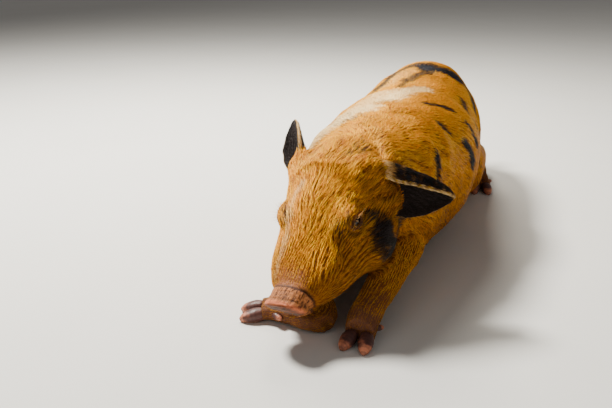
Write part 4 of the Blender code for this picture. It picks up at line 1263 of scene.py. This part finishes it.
def eyeball(side, material):
    """A ball a little smaller than the solid's, its clear front standing slightly out."""
    centre, look, back, up = eye_frame(side)
    rings, sectors = EYE_RINGS, EYE_SECTORS
    turns = np.pi * (np.arange(1, rings) / rings) ** 1.25
    around = 2 * np.pi * np.arange(sectors) / sectors
    radius = EYE_INSIDE * EYE_RADIUS
    bulge = EYE_BULGE * smoothstep(0.80, 0.30, turns)
    out = (radius + bulge) * np.cos(turns)
    wide = (radius + bulge) * np.sin(turns)
    ring = out[:, None, None] * look + wide[:, None, None] * (
        np.cos(around)[None, :, None] * back + np.sin(around)[None, :, None] * up
    )
    points = np.concatenate([[look * (radius + bulge[0])], ring.reshape(-1, 3), [-look * radius]]) + centre
    faces = []
    last = len(points) - 1
    for k in range(sectors):
        following = (k + 1) % sectors
        faces.append((0, 1 + k, 1 + following))
        faces.append((last, last - sectors + following, last - sectors + k))
        for row in range(rings - 2):
            a, b = 1 + row * sectors + k, 1 + row * sectors + following
            faces += [(a, a + sectors, b), (b, a + sectors, b + sectors)]
    faces = np.array(faces)
    if np.cross(back, up) @ look < 0:
        faces = faces[:, ::-1]
    mesh = mesh_of("eye", points, faces)
    a, b, out = by_eye(points, side)
    front = out > 0
    iris = np.where(front, np.hypot(a, b) / IRIS_RADIUS, 3)
    pupil = np.where(front, np.hypot(a, b * 1.35) / PUPIL_RADIUS, 3)
    paint_points(mesh, "Iris", iris, pupil, iris * 0)
    name = "eyeball_left" if side > 0 else "eyeball_right"
    obj = object_of(name, mesh, material)
    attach(obj, "root")
    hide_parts("eye_left" if side > 0 else "eye_right")


def hoof(names, name, material):
    """The hoofs and dewclaws of a foot, finer than the solids, with growth rings."""
    points, faces, horn = [], [], []
    toes = LEG_PATHS[name.removeprefix("hoofs_").replace("foot", "leg")][-2]
    for node in names:
        source = frame["nodes"][node].data.copy()
        bm = bmesh.new()
        bm.from_mesh(source)
        bmesh.ops.remove_doubles(bm, verts=bm.verts, dist=0.00001)
        bm.to_mesh(source)
        bm.free()
        work = object_of("work", source)
        finer = work.modifiers.new("Finer", "SUBSURF")
        finer.levels = 2
        finer.render_levels = 2
        some, triangles = arrays(applied(work))
        bpy.data.objects.remove(work, do_unlink=True)
        middle = some.mean(axis=0)
        spread_way = np.linalg.svd(some - middle, full_matrices=False)[2][0]
        if (middle - toes) @ spread_way < 0:
            spread_way = -spread_way
        far = (some - middle) @ spread_way
        share = (far - far.min()) / (far.max() - far.min())
        rings = 0.5 + 0.5 * np.sin(share * HOOF_RINGS + 0.6 * ripple(some, 0.012, 81))
        normals = normals_of(some, triangles)
        some = some + normals * (0.00022 + 0.00013 * (rings - 0.5))[:, None]
        root = smoothstep(0.28, 0.0, share)[:, None]
        axis = middle + np.outer(far, spread_way)
        some = some - spread_way * (HOOF_SUNK * root) - (some - axis) * (0.10 * root)
        some[:, 2] = np.maximum(some[:, 2], HOOF_CLEAR)
        under = smoothstep(0.0035, 0.0005, some[:, 2]) * (normals[:, 2] < 0)
        faces.append(triangles + sum(len(block) for block in points))
        points.append(some)
        horn.append(np.stack([share, rings, under], axis=1))
    mesh = mesh_of(name, np.concatenate(points), np.concatenate(faces))
    paint_points(mesh, "Horn", *np.concatenate(horn).T)
    obj = object_of(name, mesh, material)
    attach(obj, "root")
    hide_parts(*names)


def hairs_mesh(name, strands, material, seed):
    """Long single hairs: each (root, way, up, length, width, bend), with three sides and a tip."""
    count, last = len(strands), 3 * HAIR_STEPS
    roots, ways, ups = (np.array([strand[k] for strand in strands], float)[:, None] for k in range(3))
    length, width, bend = np.array([strand[3:] for strand in strands], float).T[:, :, None, None]
    sides = np.cross(ways, ups)
    sides /= np.linalg.norm(sides, axis=2, keepdims=True)
    along = np.append(np.repeat(np.arange(HAIR_STEPS), 3) / HAIR_STEPS, 1)[:, None]
    angle = 2 * math.pi * (np.arange(last + 1) % 3 / 3)[:, None]
    ring = width * (1 - along) ** 0.7 * (np.cos(angle) * sides + np.sin(angle) * np.cross(sides, ways))
    points = (roots + ways * length * along + ups * bend * length * along**2 + ring).reshape(-1, 3)
    points[:, 2] = np.maximum(points[:, 2], HAIR_CLEAR)
    one = [(0, 1, 2)]
    for start in range(0, last - 3, 3):
        for j in range(3):
            a, b = start + j, start + (j + 1) % 3
            one += [(a, a + 3, b), (b, a + 3, b + 3)]
    one += [(last - 3 + j, last, last - 3 + (j + 1) % 3) for j in range(3)]
    faces = (np.array(one)[None] + (last + 1) * np.arange(count)[:, None, None]).reshape(-1, 3)
    mesh = mesh_of(name, points, faces)
    tones = np.repeat(np.random.default_rng(seed).random(count), last + 1)
    paint_points(mesh, "Hair", tones, np.tile(along[:, 0], count), 0 * tones)
    spots = np.repeat(points[::last + 1, :2] * 0.5 + 0.5, last + 1, axis=0)
    patch = np.tile([((j % 3 - 1) / 2, j / last) for j in range(last + 1)], (count, 1))
    layer = mesh.uv_layers.new(name="OFBake")
    layer.data.foreach_set("uv", (spots + PATCH * patch)[faces.ravel()].astype(np.float32).ravel())
    obj = object_of(name, mesh, material)
    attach(obj, "root")


def lashes(tree):
    rng = np.random.default_rng(91)
    strands = []
    for side in (1, -1):
        centre, look, back, up = eye_frame(side)
        for k in range(24):
            upper = k < 17
            share = (k / 16 if upper else (k - 17) / 6) * 2 - 1
            a = 0.0072 * share
            b = (0.0028 if upper else -0.0024) * (1 - share * share) + (0.0009 if upper else -0.0007)
            aim = centre + back * a + up * b + look * 0.02
            hit = tree.ray_cast(Vector(aim), Vector(-look))[0]
            if hit is None:
                continue
            way = look + up * (-0.02 if upper else -0.6) + back * (0.9 * share + rng.normal(0, 0.22))
            way /= np.linalg.norm(way)
            lift = up * (0.9 if upper else -0.3)
            length = (0.0115 if upper else 0.0045) * rng.uniform(0.6, 1.15)
            width = 0.00013 if upper else 0.00011
            strands.append((np.array(hit) - way * HAIR_ROOT, way, lift, length, width, 0.30))
    return strands


def whiskers(points, normals, ways, owners):
    """Sparse bristles at the sides of the muzzle, on the chin, over the eyes and along the nape."""
    rng = np.random.default_rng(92)
    local = in_head(points)
    head = on(owners, *HEAD_PARTS)
    muzzle = head & (local[:, 1] > 0.014) & (local[:, 1] < 0.060)
    chin = muzzle & (local[:, 2] < -0.022)
    brows = np.zeros(len(points), bool)
    for side in (1, -1):
        centre, look, back, up = eye_frame(side)
        off = points - centre
        brows |= head & (off @ up > 0.010) & (np.linalg.norm(off, axis=1) < 0.024)
    nape = (points[:, 1] > -0.17) & (points[:, 1] < 0.05) & (points[:, 2] > 0.15)
    nape &= np.abs(points[:, 0] + 0.005) < 0.03
    strands = []
    for where, count, length, lift, width in (
        (muzzle, 90, 0.0085, 0.75, 0.00010), (chin, 36, 0.012, 0.8, 0.00012),
        (brows, 16, 0.013, 0.7, 0.00012), (nape, 150, 0.016, 0.35, 0.00012),
        (head & (local[:, 1] > 0.06), 120, 0.012, 0.42, 0.00010),
    ):
        for k in rng.choice(np.flatnonzero(where), count):
            way = ways[k] + normals[k] * lift * rng.uniform(0.6, 1.2) + rng.normal(0, 0.15, 3)
            way /= np.linalg.norm(way)
            root = points[k] - normals[k] * HAIR_ROOT
            strands.append((root, way, -normals[k], length * rng.uniform(0.6, 1.25), width, 0.25))
    return strands


# The skin and what grows on it

def dress_skin(points, faces, owners, regions):
    """The skin as a piece, with what its material reads."""
    mesh = mesh_of("skin", points, faces)
    paint_points(mesh, "MarksAndLight", regions.black, regions.pale, regions.grey)
    paint_points(mesh, "Skin", regions.snout, regions.foot, regions.nose)
    top = on(owners, *HEAD_PARTS) * smoothstep(-0.010, 0.004, regions.local[:, 2])
    # Where the material paints shade in creases: along the mouth, on the lids, and in two of the snout's
    # creases
    crease_shade = np.maximum(regions.lips * 0.8, regions.lids * 0.75)
    for deep_at, strong in ((0.0172, 0.85), (0.0050, 0.35)):
        line = groove(regions.back - deep_at - trailing(regions.local), 0.0010)
        crease_shade = np.maximum(crease_shade, top * strong * line)
    rim = smoothstep(0.0010, 0.0026, regions.back) * smoothstep(0.0175, 0.0150, regions.back)
    # The disc's upper edge, where the material paints a highlight
    lip = top * groove(regions.back - 0.0012, 0.0019)
    paint_points(mesh, "Fine", lip, crease_shade, rim)
    place = mesh.attributes.new("HeadPlace", "FLOAT_VECTOR", "POINT")
    place.data.foreach_set("vector", regions.local.astype(np.float32).ravel())
    skin = object_of("skin", mesh, hide_material())
    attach(skin, "root")
    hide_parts(*FLESH)


skin_points, skin_faces, skin_edges, skin_owners = shaped_skin()
skin_normals = normals_of(skin_points, skin_faces)
print("skin", len(skin_points), len(skin_faces))
dress_skin(skin_points, skin_faces, skin_owners, Regions(skin_points, skin_normals, skin_owners))

skin_ways = lie_of(skin_points, skin_normals, skin_owners, skin_edges)
grow_coat(skin_points, skin_faces, skin_normals, skin_ways, skin_owners, TUFTS, coat_material())

eye = eye_material()
eyeball(1, eye)
eyeball(-1, eye)
horn = horn_material()
for limb in ("forefoot", "hindfoot"):
    for side in ("left", "right"):
        foot = f"{limb}_{side}"
        claws = [name for name in frame["nodes"] if name.startswith(foot)]
        hoof(sorted(claws), "hoofs_" + foot, horn)
bristle = bristle_material()
skin_tree = tree_of(skin_points, skin_faces)
hairs_mesh("lashes", lashes(skin_tree), bristle, 93)
hairs_mesh("bristles", whiskers(skin_points, skin_normals, skin_ways, skin_owners), bristle, 94)


# The floor, the lights and the camera

def floor():
    bm = bmesh.new()
    bmesh.ops.create_grid(bm, x_segments=8, y_segments=8, size=FLOOR_HALF)
    mesh = bpy.data.meshes.new("floor")
    bm.to_mesh(mesh)
    bm.free()
    object_of("floor", mesh, floor_material())


def area(name, at, aim, size, power, colour):
    light = bpy.data.lights.new(name, "AREA")
    light.shape = "DISK"
    light.size = size
    light.energy = power
    light.color = colour
    obj = bpy.data.objects.new(name, light)
    bpy.context.scene.collection.objects.link(obj)
    obj.location = at
    obj.rotation_euler = (Vector(aim) - Vector(at)).to_track_quat("-Z", "Y").to_euler()


def world():
    pale = bpy.data.worlds.new("pale")
    pale.use_nodes = True
    background = pale.node_tree.nodes["Background"]
    background.inputs["Color"].default_value = WORLD_COLOUR
    background.inputs["Strength"].default_value = WORLD_STRENGTH
    bpy.context.scene.world = pale


def camera():
    lens = bpy.data.cameras.new("camera")
    lens.lens = CAMERA_LENS
    lens.sensor_width = 36
    lens.clip_start = 0.01
    obj = bpy.data.objects.new("camera", lens)
    bpy.context.scene.collection.objects.link(obj)
    ahead = Vector((
        -math.sin(CAMERA_AROUND) * math.cos(CAMERA_DOWN),
        math.cos(CAMERA_AROUND) * math.cos(CAMERA_DOWN),
        -math.sin(CAMERA_DOWN),
    ))
    obj.location = CAMERA_AT
    obj.rotation_euler = ahead.to_track_quat("-Z", "Y").to_euler()
    bpy.context.scene.camera = obj


floor()
for light in LIGHTS:
    area(*light)
world()
camera()
